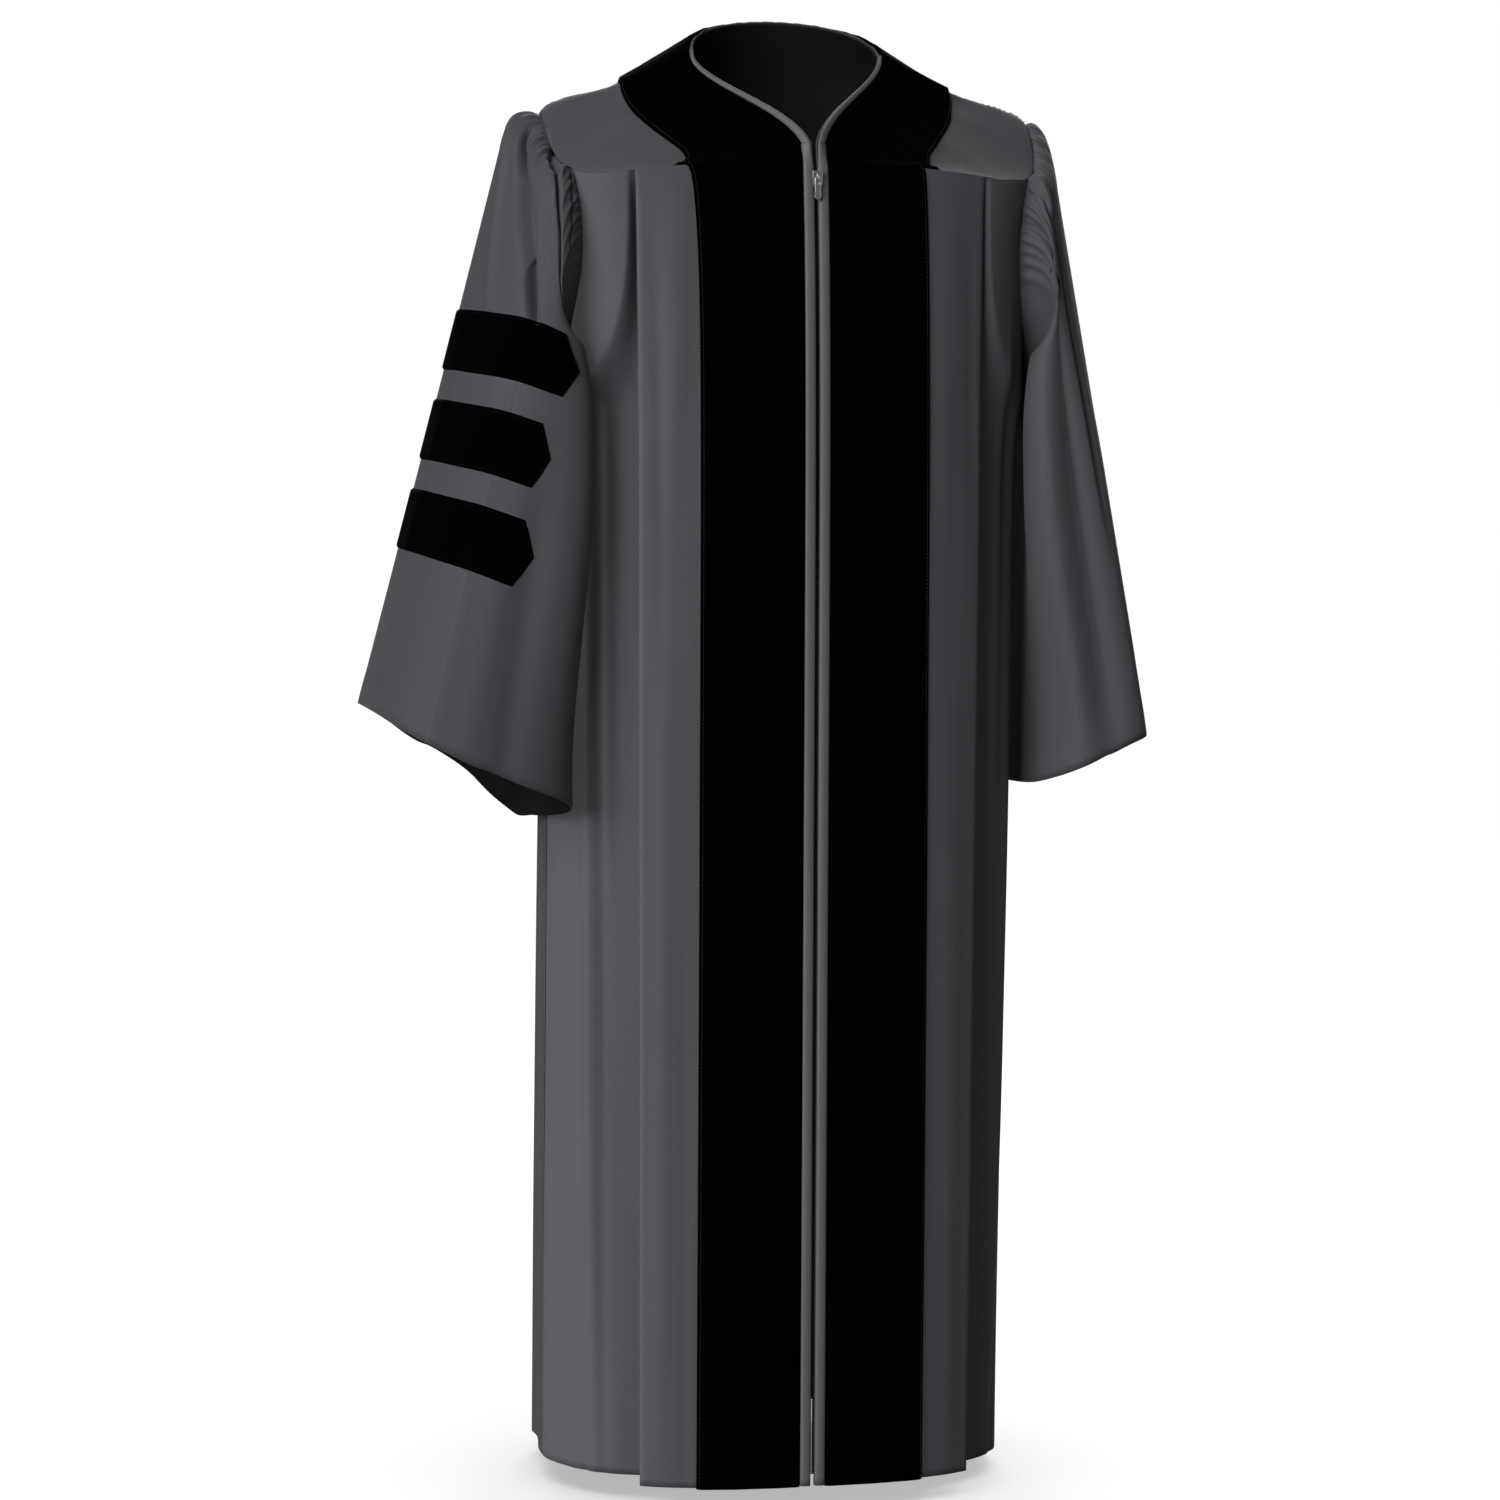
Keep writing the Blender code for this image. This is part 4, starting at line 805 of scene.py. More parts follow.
def front_grid(side):
    """A front on the wearer's left from the zip to the side seam, pleat included."""
    rows = []
    for level in FRONT_LEVELS:
        turns = np.linspace(0.0, 96.0, 385)
        lengths = lengths_along(body_form(turns, level))
        pleat = PLEAT_EDGE[0] + (PLEAT_EDGE[1] - PLEAT_EDGE[0]) * (level - YOKE) / (HEM - YOKE)
        fold = float(np.interp(turn_at(pleat, level), turns, lengths))
        side_turn = float(armhole_turn(level)) if level < UNDERARM else 90.0
        end = float(np.interp(side_turn, turns, lengths)) - SEAM_GAP
        edge = float(np.interp(turn_at(FRONT_GAP, level), turns, lengths))
        band = float(np.interp(turn_at(VELVET_EDGE, level), turns, lengths))
        pressed = 0.34 + 0.66 * float(ease((level - YOKE) / 0.6))
        spread = 1.0 + 7.0 * (1.0 - float(ease((level - YOKE) / 2.4)))
        depth = float(pleat_depth(side, level))
        drop = STACK * 2.0 + depth
        inner = fold - PLEAT_RETURN
        loop_along = (fold - 0.003, fold, fold - 0.003, inner + 0.003, inner, inner + 0.003, fold - 0.004)
        loop_below = (0.0, -STACK / 2.0, -STACK, -STACK * 1.1 - 0.35 * depth, -STACK * 1.6 - 0.42 * depth,
                      -STACK * 2.1 - 0.50 * depth, -drop - STACK * 0.1)
        tucked = max(0.02, float(ease((level - UNDERARM) / 0.2)))
        allowance = np.array([0.0003, 0.0018, 0.0070]) * tucked
        steps = np.linspace(0.0, 6.0, 31)
        part = np.linspace(0.05, 1.0, 50)
        panel = np.linspace(0.0, 1.0, 28)[1:-1]
        along = np.concatenate([
            np.linspace(edge, band, 14), band + (fold - 0.003 - band) * panel, through(loop_along, steps),
            fold + (end - fold) * part, end + allowance])
        below = np.concatenate([
            np.zeros(14), np.zeros(26), through(loop_below, steps) * pressed,
            -drop * (1.0 - ease(part * spread)) * pressed, np.array([-0.0020, -0.0024, -0.0024]) * tucked])
        turn = np.interp(along, lengths, turns)
        crease = np.zeros(len(along))
        share = (along - band) / (fold - band)
        facing = np.concatenate([np.ones(40), np.linspace(1.0, 0.0, 31), np.zeros(53)])
        beyond = np.concatenate([np.zeros(71), ease(part / 0.25), np.ones(3)])
        grown = span(level, YOKE - 1.0, HEM + 3.0)
        for at, drift, height, top, foot, width in PANEL_FOLDS[side]:
            centre = at + drift * (level - top) / (foot - top)
            crease += height * swell(share - centre, width) * span(level, top, foot) * facing * grown
        for at, drift, height, top, foot, width in SIDE_FOLDS[side]:
            centre = at + drift * (level - top) / (foot - top)
            crease += height * swell(turn - centre, width) * span(level, top, foot) * beyond
        below = below - 0.0013 * (1.0 - float(ease((level - YOKE) / 0.05)))
        points = body_form(turn, level)
        points = points + outward_at(turn, level) * (below + crease * sizes().folds)[:, None]
        rows.append(points)
    points = np.array(rows)
    points[0, :, 2] -= SEAM_GAP
    return points, grid_normals(points)


class GOWN_OT_fronts(bpy.types.Operator):
    """Adds both fronts with their knife pleats."""
    bl_idname = "gown.fronts"
    bl_label = "Fronts"

    def execute(self, context):
        for side in ("right", "left"):
            points, normals = mirror(side, *front_grid(side))
            wave = ripple(points, 0.00030, 0.095, 0.6 if side == "right" else 3.4)
            fade = ease((FRONT_LEVELS - YOKE) / 0.3)[:, None]
            points = points + normals * (wave * fade)[..., None]
            half = sizes().cloth / 2.0
            panel = make_shell("front_cloth_" + side, points, normals, half, half, suiting(), inside=painted_shade_inside())
            put(panel, "suiting", "front_" + side)
        return {"FINISHED"}


class GOWN_OT_back(bpy.types.Operator):
    """Adds the back with its soft flutes below the yoke."""
    bl_idname = "gown.back"
    bl_label = "Back"

    def execute(self, context):
        rows = []
        for level in FRONT_LEVELS:
            first = (180.0 - float(armhole_turn(level)) if level < UNDERARM else 90.0) + 0.10
            turn = np.linspace(first, 360.0 - first, 200)
            part = (level - YOKE) / (HEM - YOKE)
            grow = ease(part / 0.25) * (0.35 + 0.65 * part)
            total = np.zeros(200)
            for place, drift, height, width in BACK_FLUTES:
                total += height * swell(turn - place - drift * part, width)
            fine = 0.0011 * np.sin(np.radians(turn * 31.0)) * np.exp(-part * 14.0) * ease(part / 0.01)
            fine += 0.0012 * np.sin(np.radians(turn * 14.0 + 40.0 * np.sin(part * 5.0))) * span(part, 0.03, 0.6)
            ends = ease((turn - first) / 12.0) * ease((360.0 - first - turn) / 12.0)
            offset = ((total - 0.004) * grow + fine) * ends * sizes().folds
            rows.append(body_form(turn, level) + outward_at(turn, level) * offset[:, None])
        points = np.array(rows)
        points[0, :, 2] -= SEAM_GAP
        normals = grid_normals(points)
        half = sizes().cloth / 2.0
        back = make_shell("back_cloth", points, normals, half, half, suiting(), inside=painted_shade_inside())
        put(back, "suiting", "back")
        return {"FINISHED"}


# Sleeves

def armhole_loop():
    """Edge of the armhole from the shoulder over front, underarm and back."""
    front = [(turn, YOKE) for turn in np.linspace(90.0, ARMHOLE_TURN, 28)]
    front += [(float(armhole_turn(level)), level) for level in np.linspace(YOKE, UNDERARM, 60)[1:]]
    front[-1] = (90.0, UNDERARM)
    loop = front + [(180.0 - turn, level) for turn, level in front[-2:0:-1]]
    points = np.array([body_form(turn, level) for turn, level in loop])
    points = np.concatenate([points, points[:1]])
    lengths = lengths_along(points)
    return points, lengths / lengths[-1]


def head_value(turn, name):
    values = np.array(HEAD[name])
    place = (turn % 360.0) / 90.0
    low = place.astype(int) % 4
    part = place - place.astype(int)
    return values[low] + (values[(low + 1) % 4] - values[low]) * ease(part)


def row_height(side, turn, fall):
    """Height of a row of the falling sleeve: fall 0 is the first bar, 1 the cuff."""
    shape = SLEEVES[side]
    angle = np.radians(turn)
    inward = (1.0 - np.cos(angle)) / 2.0
    slant = (shape["inner_z"] - shape["outer_z"]) * inward
    slant = slant + shape["front_lift"] * swell(turn % 360.0 - 78.0, 24.0)
    slant = slant + shape["back_lift"] * swell(turn % 360.0 - 300.0, 28.0)
    slant = slant - shape["back_drop"] * swell(turn % 360.0 - 203.0, 21.0)
    outer = BAR_TOP + (shape["outer_z"] - BAR_TOP) * fall
    return outer - BAR_SLOPE * (0.22 * inward + 0.32 * inward ** 3.0) * (1.0 - fall ** 2) + slant * fall ** 2


def sleeve_form(side, turn, down):
    """Points of a sleeve on the wearer's left; turn 0 is outwards, 90 the front."""
    turn, down = np.broadcast_arrays(np.asarray(turn, float), np.asarray(down, float))
    shape = SLEEVES[side]
    loop, parts = armhole_loop()
    middle = loop[:-1].mean(axis=0)
    part = (turn / 360.0) % 1.0
    start = np.stack([np.interp(part, parts, loop[:, axis]) for axis in range(3)], axis=-1)
    radial = start - middle
    radial[..., 0] = 0.0
    radial /= np.linalg.norm(radial, axis=-1, keepdims=True)
    angle = np.radians(turn)
    cosine, sine = np.cos(angle), np.sin(angle)
    solid = start - radial * 0.0058
    out = head_value(turn, "out") + shape["head"] * np.maximum(0.0, cosine)
    reach = np.stack([out, -head_value(turn, "forth") * sine, -head_value(turn, "down")], axis=-1)
    begin = solid + reach
    depth = np.where(sine > 0.0, shape["front_depth"], shape["back_depth"])
    cuff = np.stack([
        shape["middle"] + shape["half_width"] * np.sign(cosine) * np.abs(cosine) ** 0.8
        - shape["lap"] * swell(turn - 132.0, 30.0),
        -depth * np.sign(sine) * np.abs(sine) ** 0.8,
        row_height(side, turn, 1.0)], axis=-1)
    over = 0.0285 * swell(turn - 122.0, 27.0) * ease((down - 0.10) / 0.34) * (1.0 - ease((down - 0.52) / 0.50))
    way = cuff - begin
    bend = begin - way / np.linalg.norm(way, axis=-1, keepdims=True) * head_value(turn, "round")[..., None]
    bend = bend + radial * (0.0015 + 0.0115 * np.maximum(0.0, cosine) ** 1.5)[..., None]
    seam = start - radial * 0.0012 - np.array([0.0015, 0.0, 0.0])
    t = np.clip(down / HEAD_END, 0.0, 1.0)[..., None]
    head = seam * (1.0 - t) ** 2 + bend * 2.0 * t * (1.0 - t) + begin * t ** 2
    first = row_height(side, turn, 0.0)
    top = np.minimum(begin[..., 2] - 0.012, first)
    fall = np.clip((down - BARS_START) / (1.0 - BARS_START), 0.0, 1.0)
    upper = begin[..., 2] + (top - begin[..., 2]) * np.clip((down - HEAD_END) / (BARS_START - HEAD_END), 0.0, 1.0)
    lower = top + (row_height(side, turn, fall) - first) * (cuff[..., 2] - top) / (cuff[..., 2] - first)
    height = np.where(down < BARS_START, upper, lower)
    straight = begin + way * ((height - begin[..., 2]) / way[..., 2])[..., None]
    placed = np.where((down < HEAD_END)[..., None], head, straight)
    return placed + np.stack([-over, -0.35 * over, np.zeros_like(over)], axis=-1)


def sleeve_relief(side, turn, down):
    """Height of the gathers, flutes and soft creases of a sleeve."""
    near = (turn + 180.0) % 360.0 - 180.0
    total = np.zeros(np.broadcast(turn, down).shape)
    for place, height, reach, width in GATHERS:
        grow = ease(down / 0.032) * (1.0 - ease(down / reach))
        spread = width * (1.0 + 1.2 * down / reach)
        drift = 110.0 * down * math.exp(-((place - 48.0) / 45.0) ** 2)
        total += height * swell(near - place - drift, spread) * grow
    for place, drift, height, start, end, width in SLEEVE_FOLDS[side]:
        distance = (turn - place - drift * down + 180.0) % 360.0 - 180.0
        total += height * swell(distance, width) * span(down, start, end) * sizes().folds
    return total


def sleeve_surface(side, turn, down):
    """Points and outward normals of the finished sleeve for any turns and downs."""
    points = sleeve_form(side, turn, down)
    relief = sleeve_relief(side, turn, down)
    step = 0.5
    beside = sleeve_form(side, turn + step, down) - sleeve_form(side, turn - step, down)
    below = sleeve_form(side, turn, np.minimum(down + 0.006, 1.0)) - sleeve_form(
        side, turn, np.maximum(down - 0.006, 0.0))
    normals = -np.cross(below, beside)
    normals /= np.maximum(np.linalg.norm(normals, axis=-1, keepdims=True), 1e-12)
    return points + normals * relief[..., None], normals


SLEEVE_TURNS = np.concatenate([np.linspace(-104.0, -4.0, 72), np.linspace(-4.0, 104.0, 160)[1:],
                               np.linspace(104.0, 256.0, 50)[1:-1]])
SLEEVE_DOWNS = np.concatenate([np.linspace(0.0, 0.16, 44), np.linspace(0.16, 0.34, 24)[1:],
                               np.linspace(0.34, 1.0, 50)[1:]])


def side_of(side, points, normals, closed=False):
    """Places a sleeve grid on its side with its faces outwards."""
    if side == "left":
        return points[:, ::-1], normals[:, ::-1]
    flip = np.array([-1.0, 1.0, 1.0])
    return points * flip, normals * flip


class GOWN_OT_sleeves(bpy.types.Operator):
    """Adds both bell sleeves with their gathered heads."""
    bl_idname = "gown.sleeves"
    bl_label = "Sleeves"

    def execute(self, context):
        for side in ("right", "left"):
            points, normals = sleeve_surface(side, SLEEVE_TURNS[None, :], SLEEVE_DOWNS[:, None])
            points, normals = side_of(side, points, normals)
            half = np.full(points.shape[:2], sizes().cloth / 2.0)
            half[-5:] += np.array([0.0001, 0.0003, 0.0004, 0.0004, 0.0002])[:, None]
            sleeve = make_shell("sleeve_cloth_" + side, points, normals, half, half, suiting(), closed=True,
                                inside=painted_shade_inside())
            put(sleeve, "suiting", "sleeve_" + side)
        return {"FINISHED"}


def bar_rows(side, number, rows, columns, inset=0.0):
    """Turns and downs of a bar with a point at each end; inset draws its outline in."""
    back, back_shoulder, shoulder, tip = BARS[side][number]
    start = BARS_START + (1.0 - BARS_START) * number * BAR_PITCH / BARS_FALL
    end = BARS_START + (1.0 - BARS_START) * (number * BAR_PITCH + BAR_HEIGHT) / BARS_FALL
    across = np.linspace(inset, 1.0 - inset, rows)
    peak = 1.0 - np.abs(2.0 * across - 1.0)
    first = back_shoulder + (back - back_shoulder) * peak + inset * 30.0
    last = shoulder + (tip - shoulder) * peak - inset * 30.0
    turns = first[:, None] + (last - first)[:, None] * np.linspace(0.0, 1.0, columns)[None, :]
    downs = np.repeat((start + (end - start) * across)[:, None], columns, axis=1)
    return turns, downs


class GOWN_OT_bars(bpy.types.Operator):
    """Adds the velvet bars of both sleeves."""
    bl_idname = "gown.bars"
    bl_label = "Sleeve bars"

    def execute(self, context):
        for side in ("right", "left"):
            for number in range(3):
                turns, downs = bar_rows(side, number, 25, 140)
                points, normals = sleeve_surface(side, turns, downs)
                inward = rounded_edges(points, 0.0025)
                upward = rounded_edges(points.transpose(1, 0, 2), 0.0025).T
                high = 0.0010 + 0.0016 * np.minimum(inward, upward)
                if side == "left":
                    high = high[:, ::-1]
                points, normals = side_of(side, points, normals)
                bar = make_shell("velvet_bar_%s_%d" % (side, number + 1), points, normals, high, -0.0003, bar_velvet())
                put(bar, "bar_velvet", "bar_%s_%d" % (side, number + 1))
        return {"FINISHED"}


# Zip

def zip_path(count, x, y_shift):
    heights = np.linspace(-0.1160, ZIP_END_Z, count)
    levels = np.interp(-heights, [-row[4] for row in BODY_ROWS[2:]], range(2, 9))
    points = body_form(0.0, levels)
    straight = heights > BODY_ROWS[2][4]
    points[straight, 1] = body_form(0.0, 1.0)[1]
    points[:, 2] = heights
    points[:, 0] = x
    points[:, 1] += y_shift
    return points


class GOWN_OT_zip(bpy.types.Operator):
    """Adds the zip's tapes, teeth, slider and pull tab."""
    bl_idname = "gown.zip"
    bl_label = "Zip"

    def execute(self, context):
        for side in ("right", "left"):
            sign = -1.0 if side == "right" else 1.0
            columns = np.linspace(0.0006, 0.0135, 6)[::1 if side == "left" else -1] * sign
            points = np.array([zip_path(160, x, 0.0020) for x in columns]).transpose(1, 0, 2)
            tape = make_shell("zip_tape_cloth_" + side, points, grid_normals(points), 0.0003, 0.0003, tape_cloth())
            put(tape, "tape", "zip_tape_" + side)
        line = edge_line(zip_path(200, 0.0, -0.0006))
        teeth = grown_mesh("zip_teeth", line, tooth_tree(), {"Pitch": sizes().tooth, "Material": metal_or_resin()})
        put(teeth, "tape", "zip_chain")
        for name, body in (("zip_slider", "gown"), ("zip_pull", "pull_tab")):
            piece = softened_copy(name, 0.00028)
            put(piece, "nickel", name, body=body)
        return {"FINISHED"}


def metal_or_resin():
    """Black resin of the zip's teeth."""
    return thread_material("black resin", (0.010, 0.010, 0.011))


def softened_copy(name, radius):
    """Copy of a metal solid with its edges rounded."""
    source = frame["nodes"][name]
    source = source if hasattr(source, "data") else bpy.data.objects[name]
    mesh = source.data.copy()
    mesh.transform(source.matrix_world)
    thing = show(name + "_metal", mesh, metal_material())
    weld = thing.modifiers.new("weld", "WELD")
    weld.merge_threshold = 0.00001
    soft = thing.modifiers.new("soft edges", "BEVEL")
    soft.width = radius
    soft.segments = 3
    soft.limit_method = "ANGLE"
    soft.angle_limit = math.radians(25.0)
    soft.use_clamp_overlap = True
    graph = bpy.context.evaluated_depsgraph_get()
    made = bpy.data.meshes.new_from_object(thing.evaluated_get(graph))
    thing.modifiers.clear()
    thing.data = made
    made.shade_smooth()
    return thing


# Stitches and teeth, grown along lines

def edge_line(points):
    mesh = bpy.data.meshes.new("line")
    mesh.from_pydata([tuple(point) for point in points], [(k, k + 1) for k in range(len(points) - 1)], [])
    return mesh


def joined_lines(lines):
    vertices, edges = [], []
    for line in lines:
        first = len(vertices)
        vertices += [tuple(point) for point in line]
        edges += [(first + k, first + k + 1) for k in range(len(line) - 1)]
    mesh = bpy.data.meshes.new("lines")
    mesh.from_pydata(vertices, edges, [])
    return mesh


def instance_tree(name, build_shape):
    """Tree that sets one small shape along every line of a mesh at an even pitch."""
    if name in bpy.data.node_groups:
        return bpy.data.node_groups[name]
    tree = bpy.data.node_groups.new(name, "GeometryNodeTree")
    face = tree.interface
    face.new_socket(name="Geometry", in_out="INPUT", socket_type="NodeSocketGeometry")
    pitch = face.new_socket(name="Pitch", in_out="INPUT", socket_type="NodeSocketFloat")
    pitch.default_value = 0.003
    face.new_socket(name="Material", in_out="INPUT", socket_type="NodeSocketMaterial")
    face.new_socket(name="Geometry", in_out="OUTPUT", socket_type="NodeSocketGeometry")
    start, end = tree.nodes.new("NodeGroupInput"), tree.nodes.new("NodeGroupOutput")
    curve = tree.nodes.new("GeometryNodeMeshToCurve")
    points = tree.nodes.new("GeometryNodeCurveToPoints")
    points.mode = "LENGTH"
    align = tree.nodes.new("FunctionNodeAlignRotationToVector")
    align.axis = "Z"
    place = tree.nodes.new("GeometryNodeInstanceOnPoints")
    real = tree.nodes.new("GeometryNodeRealizeInstances")
    paint = tree.nodes.new("GeometryNodeSetMaterial")
    link = tree.links.new
    link(start.outputs["Geometry"], curve.inputs["Mesh"])
    link(curve.outputs["Curve"], points.inputs["Curve"])
    link(start.outputs["Pitch"], points.inputs["Length"])
    link(points.outputs["Points"], place.inputs["Points"])
    link(points.outputs["Tangent"], align.inputs["Vector"])
    link(align.outputs["Rotation"], place.inputs["Rotation"])
    link(build_shape(tree, start), place.inputs["Instance"])
    link(place.outputs["Instances"], real.inputs["Geometry"])
    link(real.outputs["Geometry"], paint.inputs["Geometry"])
    link(start.outputs["Material"], paint.inputs["Material"])
    link(paint.outputs["Geometry"], end.inputs["Geometry"])
    return tree


def stitch_tree():
    def shape(tree, start):
        bead = tree.nodes.new("GeometryNodeMeshUVSphere")
        bead.inputs["Segments"].default_value = 5
        bead.inputs["Rings"].default_value = 3
        bead.inputs["Radius"].default_value = 0.00028
        long = tree.nodes.new("GeometryNodeTransform")
        long.inputs["Scale"].default_value = (1.0, 1.0, 4.6)
        tree.links.new(bead.outputs["Mesh"], long.inputs["Geometry"])
        return long.outputs["Geometry"]
    return instance_tree("stitch row", shape)


def tooth_tree():
    def shape(tree, start):
        tooth = tree.nodes.new("GeometryNodeMeshCube")
        tooth.inputs["Size"].default_value = (0.0026, 0.0012, 0.0011)
        return tooth.outputs["Mesh"]
    return instance_tree("zip teeth", shape)


def grown_mesh(name, line, tree, values):
    """Plain mesh of a tree run on a line, with no modifier left."""
    thing = bpy.data.objects.new(name, line)
    bpy.context.scene.collection.objects.link(thing)
    grow = thing.modifiers.new("grow", "NODES")
    grow.node_group = tree
    for item in tree.interface.items_tree:
        if item.item_type == "SOCKET" and item.in_out == "INPUT" and item.name in values:
            grow[item.identifier] = values[item.name]
    graph = bpy.context.evaluated_depsgraph_get()
    made = bpy.data.meshes.new_from_object(thing.evaluated_get(graph))
    thing.modifiers.clear()
    thing.data = made
    made.shade_smooth()
    return thing


class GOWN_OT_stitches(bpy.types.Operator):
    """Adds the sewing of velvet, bars and hems."""
    bl_idname = "gown.stitches"
    bl_label = "Stitches"

    def execute(self, context):
        pitch = sizes().stitch
        dark, grey = thread_material("black thread", (0.010, 0.010, 0.012)), thread_material(
            "charcoal thread", (0.06, 0.058, 0.064))
        lines = []
        flip = np.array([-1.0, 1.0, 1.0])
        for side in ("right", "left"):
            points, normals = strip_grid(side, 1.97, 1.985, 2)
            line = points[:, 0] + normals[:, 0] * 0.0034
            lines.append(line if side == "left" else line * flip)
            for number in range(3):
                turns, downs = bar_rows(side, number, 25, 60, inset=0.045)
                surface, ways = sleeve_surface(side, turns, downs)
                surface = surface + ways * 0.0024
                ring = np.concatenate([surface[0], surface[1:, -1], surface[-1, -2::-1], surface[-2::-1, 0]])
                lines.append(ring if side == "left" else ring * flip)
        seams = grown_mesh("velvet_stitches", joined_lines(lines), stitch_tree(), {"Pitch": pitch, "Material": dark})
        put(seams, "velvet")
        lines = []
        for side in ("right", "left"):
            surface, ways = sleeve_surface(side, np.linspace(-104.0, 256.0, 241), np.full(241, 0.955))
            line = surface + ways * (sizes().cloth / 2.0)
            lines.append(line if side == "left" else line * flip)
        hems = grown_mesh("hem_stitches", joined_lines(lines), stitch_tree(), {"Pitch": pitch * 2.0, "Material": grey})
        put(hems, "suiting")
        return {"FINISHED"}


# Stage

CAMERA_AT = (-1.0886, -4.3663, -0.25)
CAMERA_TO = (0.0, 0.0, -0.68)
CAMERA_LENS = 115.4
CAMERA_SHIFT = (-0.0180, 0.0233)
CAMERA_ROLL = 0.7


def floor_material():
    """Pale floor with a soft shadow; it throws little light back on the gown."""
    material, tree, shader = new_material("studio floor", 0.85, specular=0.0)
    place = tree.nodes.new("ShaderNodeTexCoord")
    cloud = noise_node(tree, place.outputs["Object"], 1.5, 2.0)
    shade = tree.nodes.new("ShaderNodeRGB")
    shade.outputs[0].default_value = (0.80, 0.80, 0.803, 1.0)
    tone = math_node(tree, "ADD", math_node(tree, "MULTIPLY", cloud, 0.004), 0.998)
    tree.links.new(tinted(tree, shade.outputs[0], tone), shader.inputs["Base Color"])
    shader.inputs["Emission Color"].default_value = (1.0, 1.0, 1.0, 1.0)
    shader.inputs["Emission Strength"].default_value = 0.46
    dim = tree.nodes.new("ShaderNodeBsdfDiffuse")
    dim.inputs["Color"].default_value = (0.22, 0.22, 0.22, 1.0)
    path = tree.nodes.new("ShaderNodeLightPath")
    mix = tree.nodes.new("ShaderNodeMixShader")
    tree.links.new(path.outputs["Is Camera Ray"], mix.inputs[0])
    tree.links.new(dim.outputs[0], mix.inputs[1])
    tree.links.new(shader.outputs[0], mix.inputs[2])
    tree.links.new(mix.outputs[0], tree.nodes["Material Output"].inputs["Surface"])
    return material


def add_light(name, location, target, size, power, colour=(1.0, 1.0, 1.0)):
    data = bpy.data.lights.new(name, "AREA")
    data.energy = power
    data.size = size
    data.color = colour
    light = bpy.data.objects.new(name, data)
    bpy.context.scene.collection.objects.link(light)
    light.location = location
    light.rotation_euler = (Vector(target) - Vector(location)).to_track_quat("-Z", "Y").to_euler()


def add_sun(name, way, power, spread):
    data = bpy.data.lights.new(name, "SUN")
    data.energy = power
    data.angle = math.radians(spread)
    light = bpy.data.objects.new(name, data)
    bpy.context.scene.collection.objects.link(light)
    light.rotation_euler = Vector(way).to_track_quat("-Z", "Y").to_euler()
    return light


def link_light(light, thing, state):
    """Keeps a light off one object, or on it alone."""
    lit = bpy.data.collections.new(light.name + " receivers")
    lit.objects.link(thing)
    light.light_linking.receiver_collection = lit
    lit.collection_objects[0].light_linking.link_state = state


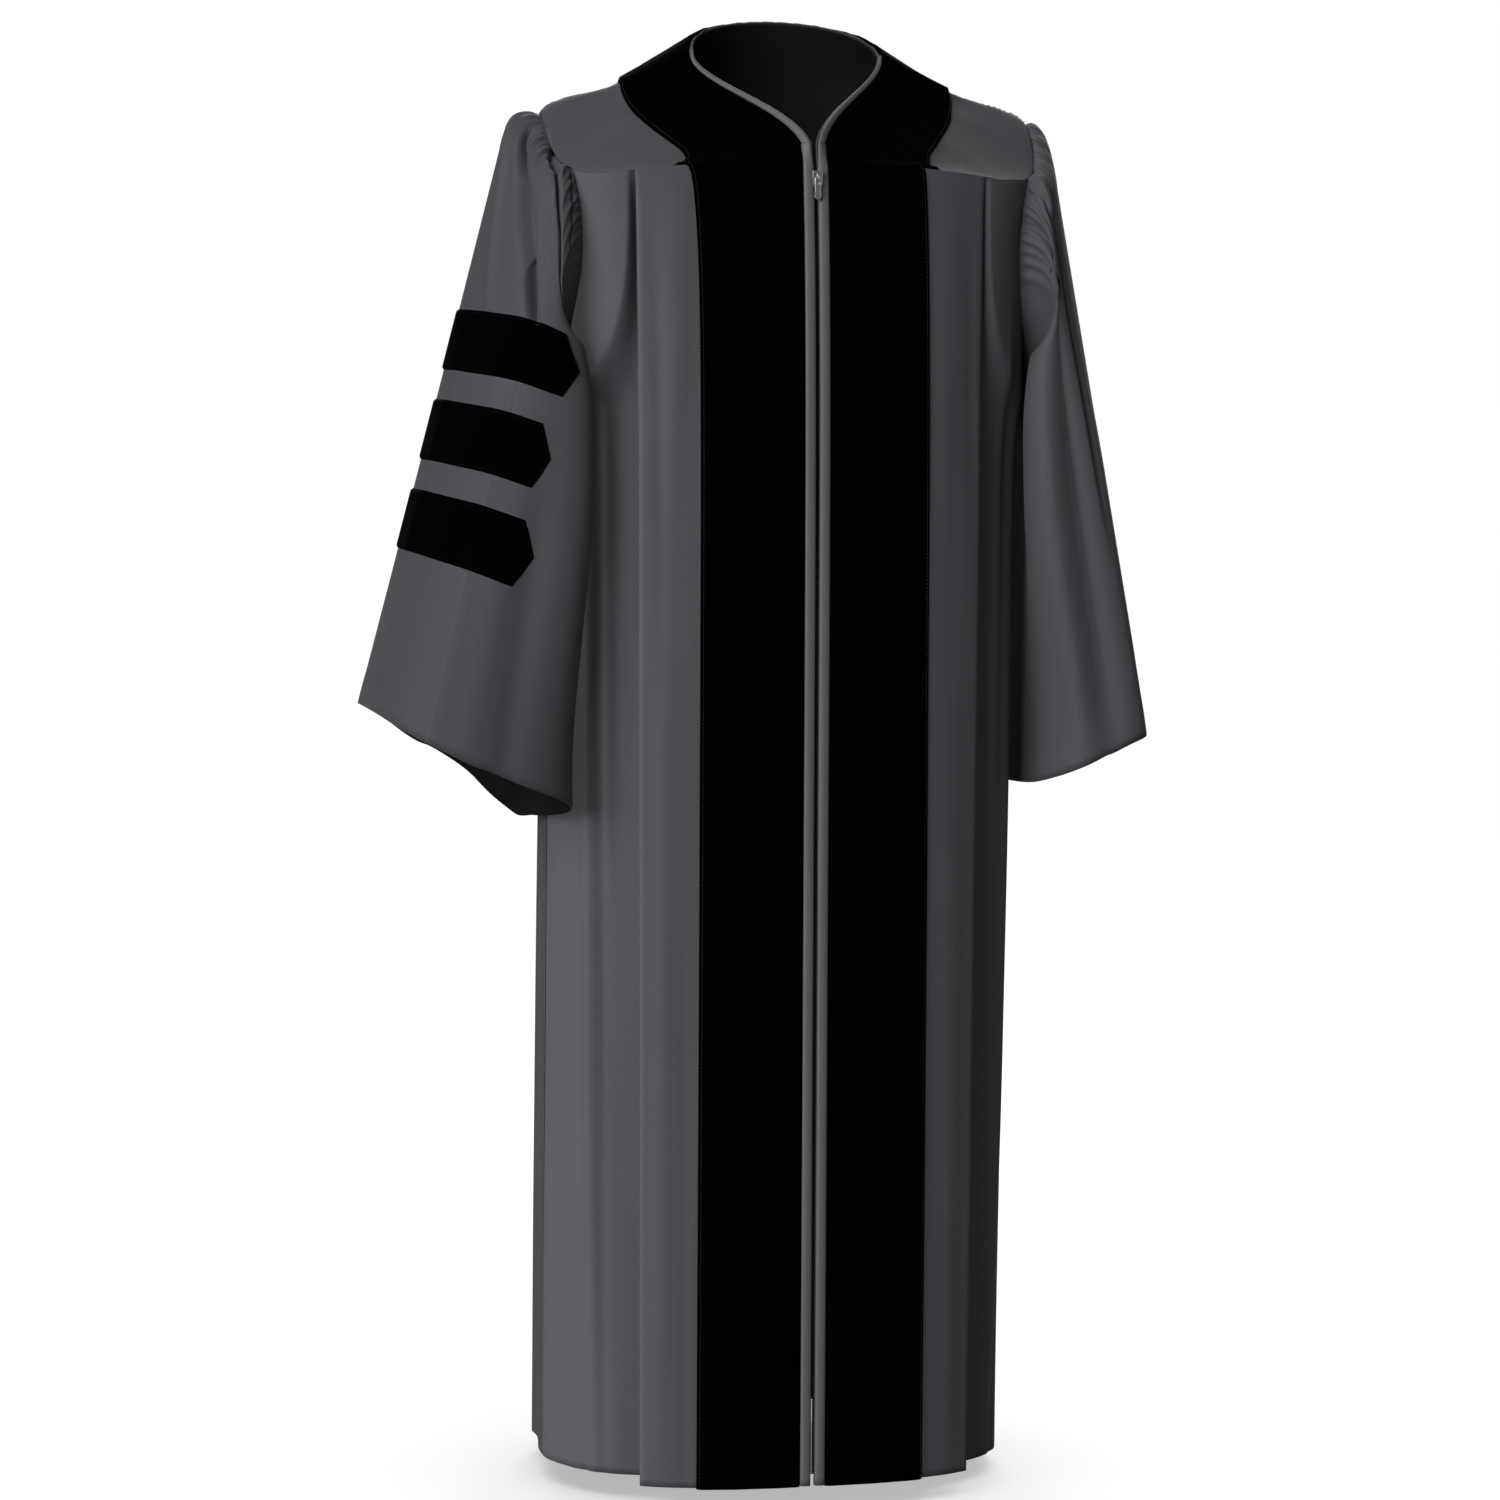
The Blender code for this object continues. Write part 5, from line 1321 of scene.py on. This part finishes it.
class GOWN_OT_stage(bpy.types.Operator):
    """Adds the floor, the studio light and the camera."""
    bl_idname = "gown.stage"
    bl_label = "Stage"

    def execute(self, context):
        scene = context.scene
        scene.view_settings.view_transform = "Standard"
        mesh = bpy.data.meshes.new("floor")
        wide, z = 60.0, HEM_Z - 0.022
        mesh.from_pydata([(-wide, -wide, z), (wide, -wide, z), (wide, wide, z), (-wide, wide, z)], [], [(0, 1, 2, 3)])
        floor = show("floor", mesh, floor_material())
        world = bpy.data.worlds.new("studio")
        world.use_nodes = True
        scene.world = world
        sky = world.node_tree.nodes["Background"]
        sky.inputs[0].default_value = (1.0, 1.0, 1.0, 1.0)
        sky.inputs[1].default_value = 0.14
        bright = world.node_tree.nodes.new("ShaderNodeBackground")
        bright.inputs[1].default_value = 1.0
        bright.inputs[0].default_value = (1.0, 1.0, 1.0, 1.0)
        path = world.node_tree.nodes.new("ShaderNodeLightPath")
        mix = world.node_tree.nodes.new("ShaderNodeMixShader")
        out = world.node_tree.nodes["World Output"]
        link = world.node_tree.links.new
        link(path.outputs["Is Camera Ray"], mix.inputs[0])
        link(sky.outputs[0], mix.inputs[1])
        link(bright.outputs[0], mix.inputs[2])
        link(mix.outputs[0], out.inputs["Surface"])
        key = add_sun("key", (0.97, 0.82, -0.52), 3.4, 42.0)
        shade = add_sun("floor light", (0.0, 0.0, -1.0), 1.75, 80.0)
        link_light(key, floor, "EXCLUDE")
        link_light(shade, floor, "INCLUDE")
        behind = add_sun("back light", (-0.35, -1.0, -0.45), 1.5, 40.0)
        link_light(behind, floor, "EXCLUDE")
        side = add_sun("side fill", (1.0, -0.12, -0.08), 1.6, 12.0)
        side.data.use_shadow = False
        link_light(side, bpy.data.objects["front_cloth_right"], "INCLUDE")
        add_light("fill", (3.2, -3.4, 0.4), (0.0, 0.0, -0.7), 2.4, 9.0)
        add_light("rim", (0.6, 2.6, 2.2), (0.0, 0.0, -0.4), 2.0, 30.0)
        camera_data = bpy.data.cameras.new("camera")
        camera_data.lens = CAMERA_LENS
        camera_data.sensor_width = 36.0
        camera_data.shift_x, camera_data.shift_y = CAMERA_SHIFT
        camera_data.clip_end = 100.0
        camera = bpy.data.objects.new("camera", camera_data)
        scene.collection.objects.link(camera)
        aim = (Vector(CAMERA_TO) - Vector(CAMERA_AT)).to_track_quat("-Z", "Y").to_matrix().to_4x4()
        roll = Matrix.Rotation(math.radians(CAMERA_ROLL), 4, "Z")
        camera.matrix_world = Matrix.Translation(CAMERA_AT) @ aim @ roll
        scene.camera = camera
        return {"FINISHED"}


class GOWN_PT_panel(bpy.types.Panel):
    """Lists the gown's pieces and sizes."""
    bl_label = "Graduation gown"
    bl_idname = "GOWN_PT_panel"
    bl_space_type = "VIEW_3D"
    bl_region_type = "UI"
    bl_category = "Gown"

    def draw(self, context):
        for name in ("cloth", "velvet", "stitch", "tooth", "weave", "folds"):
            self.layout.prop(context.scene.gown_sizes, name)
        for name in ("suiting", "velvet", "bars", "piping", "lining", "metal"):
            self.layout.prop(context.scene.gown_colours, name)
        for step in STEPS:
            self.layout.operator(step.bl_idname)


STEPS = (
    GOWN_OT_yoke, GOWN_OT_fronts, GOWN_OT_back, GOWN_OT_velvet, GOWN_OT_piping, GOWN_OT_lining,
    GOWN_OT_sleeves, GOWN_OT_bars, GOWN_OT_zip, GOWN_OT_stitches, GOWN_OT_stage,
)
CLASSES = (GownSizes, GownColours, *STEPS, GOWN_PT_panel)


def register():
    for item in CLASSES:
        bpy.utils.register_class(item)
    bpy.types.Scene.gown_sizes = bpy.props.PointerProperty(type=GownSizes)
    bpy.types.Scene.gown_colours = bpy.props.PointerProperty(type=GownColours)


def unregister():
    del bpy.types.Scene.gown_colours
    del bpy.types.Scene.gown_sizes
    for item in reversed(CLASSES):
        bpy.utils.unregister_class(item)


def main():
    register()
    for step in STEPS:
        family, name = step.bl_idname.split(".")
        getattr(getattr(bpy.ops, family), name)()


if __name__ == "__main__":
    main()
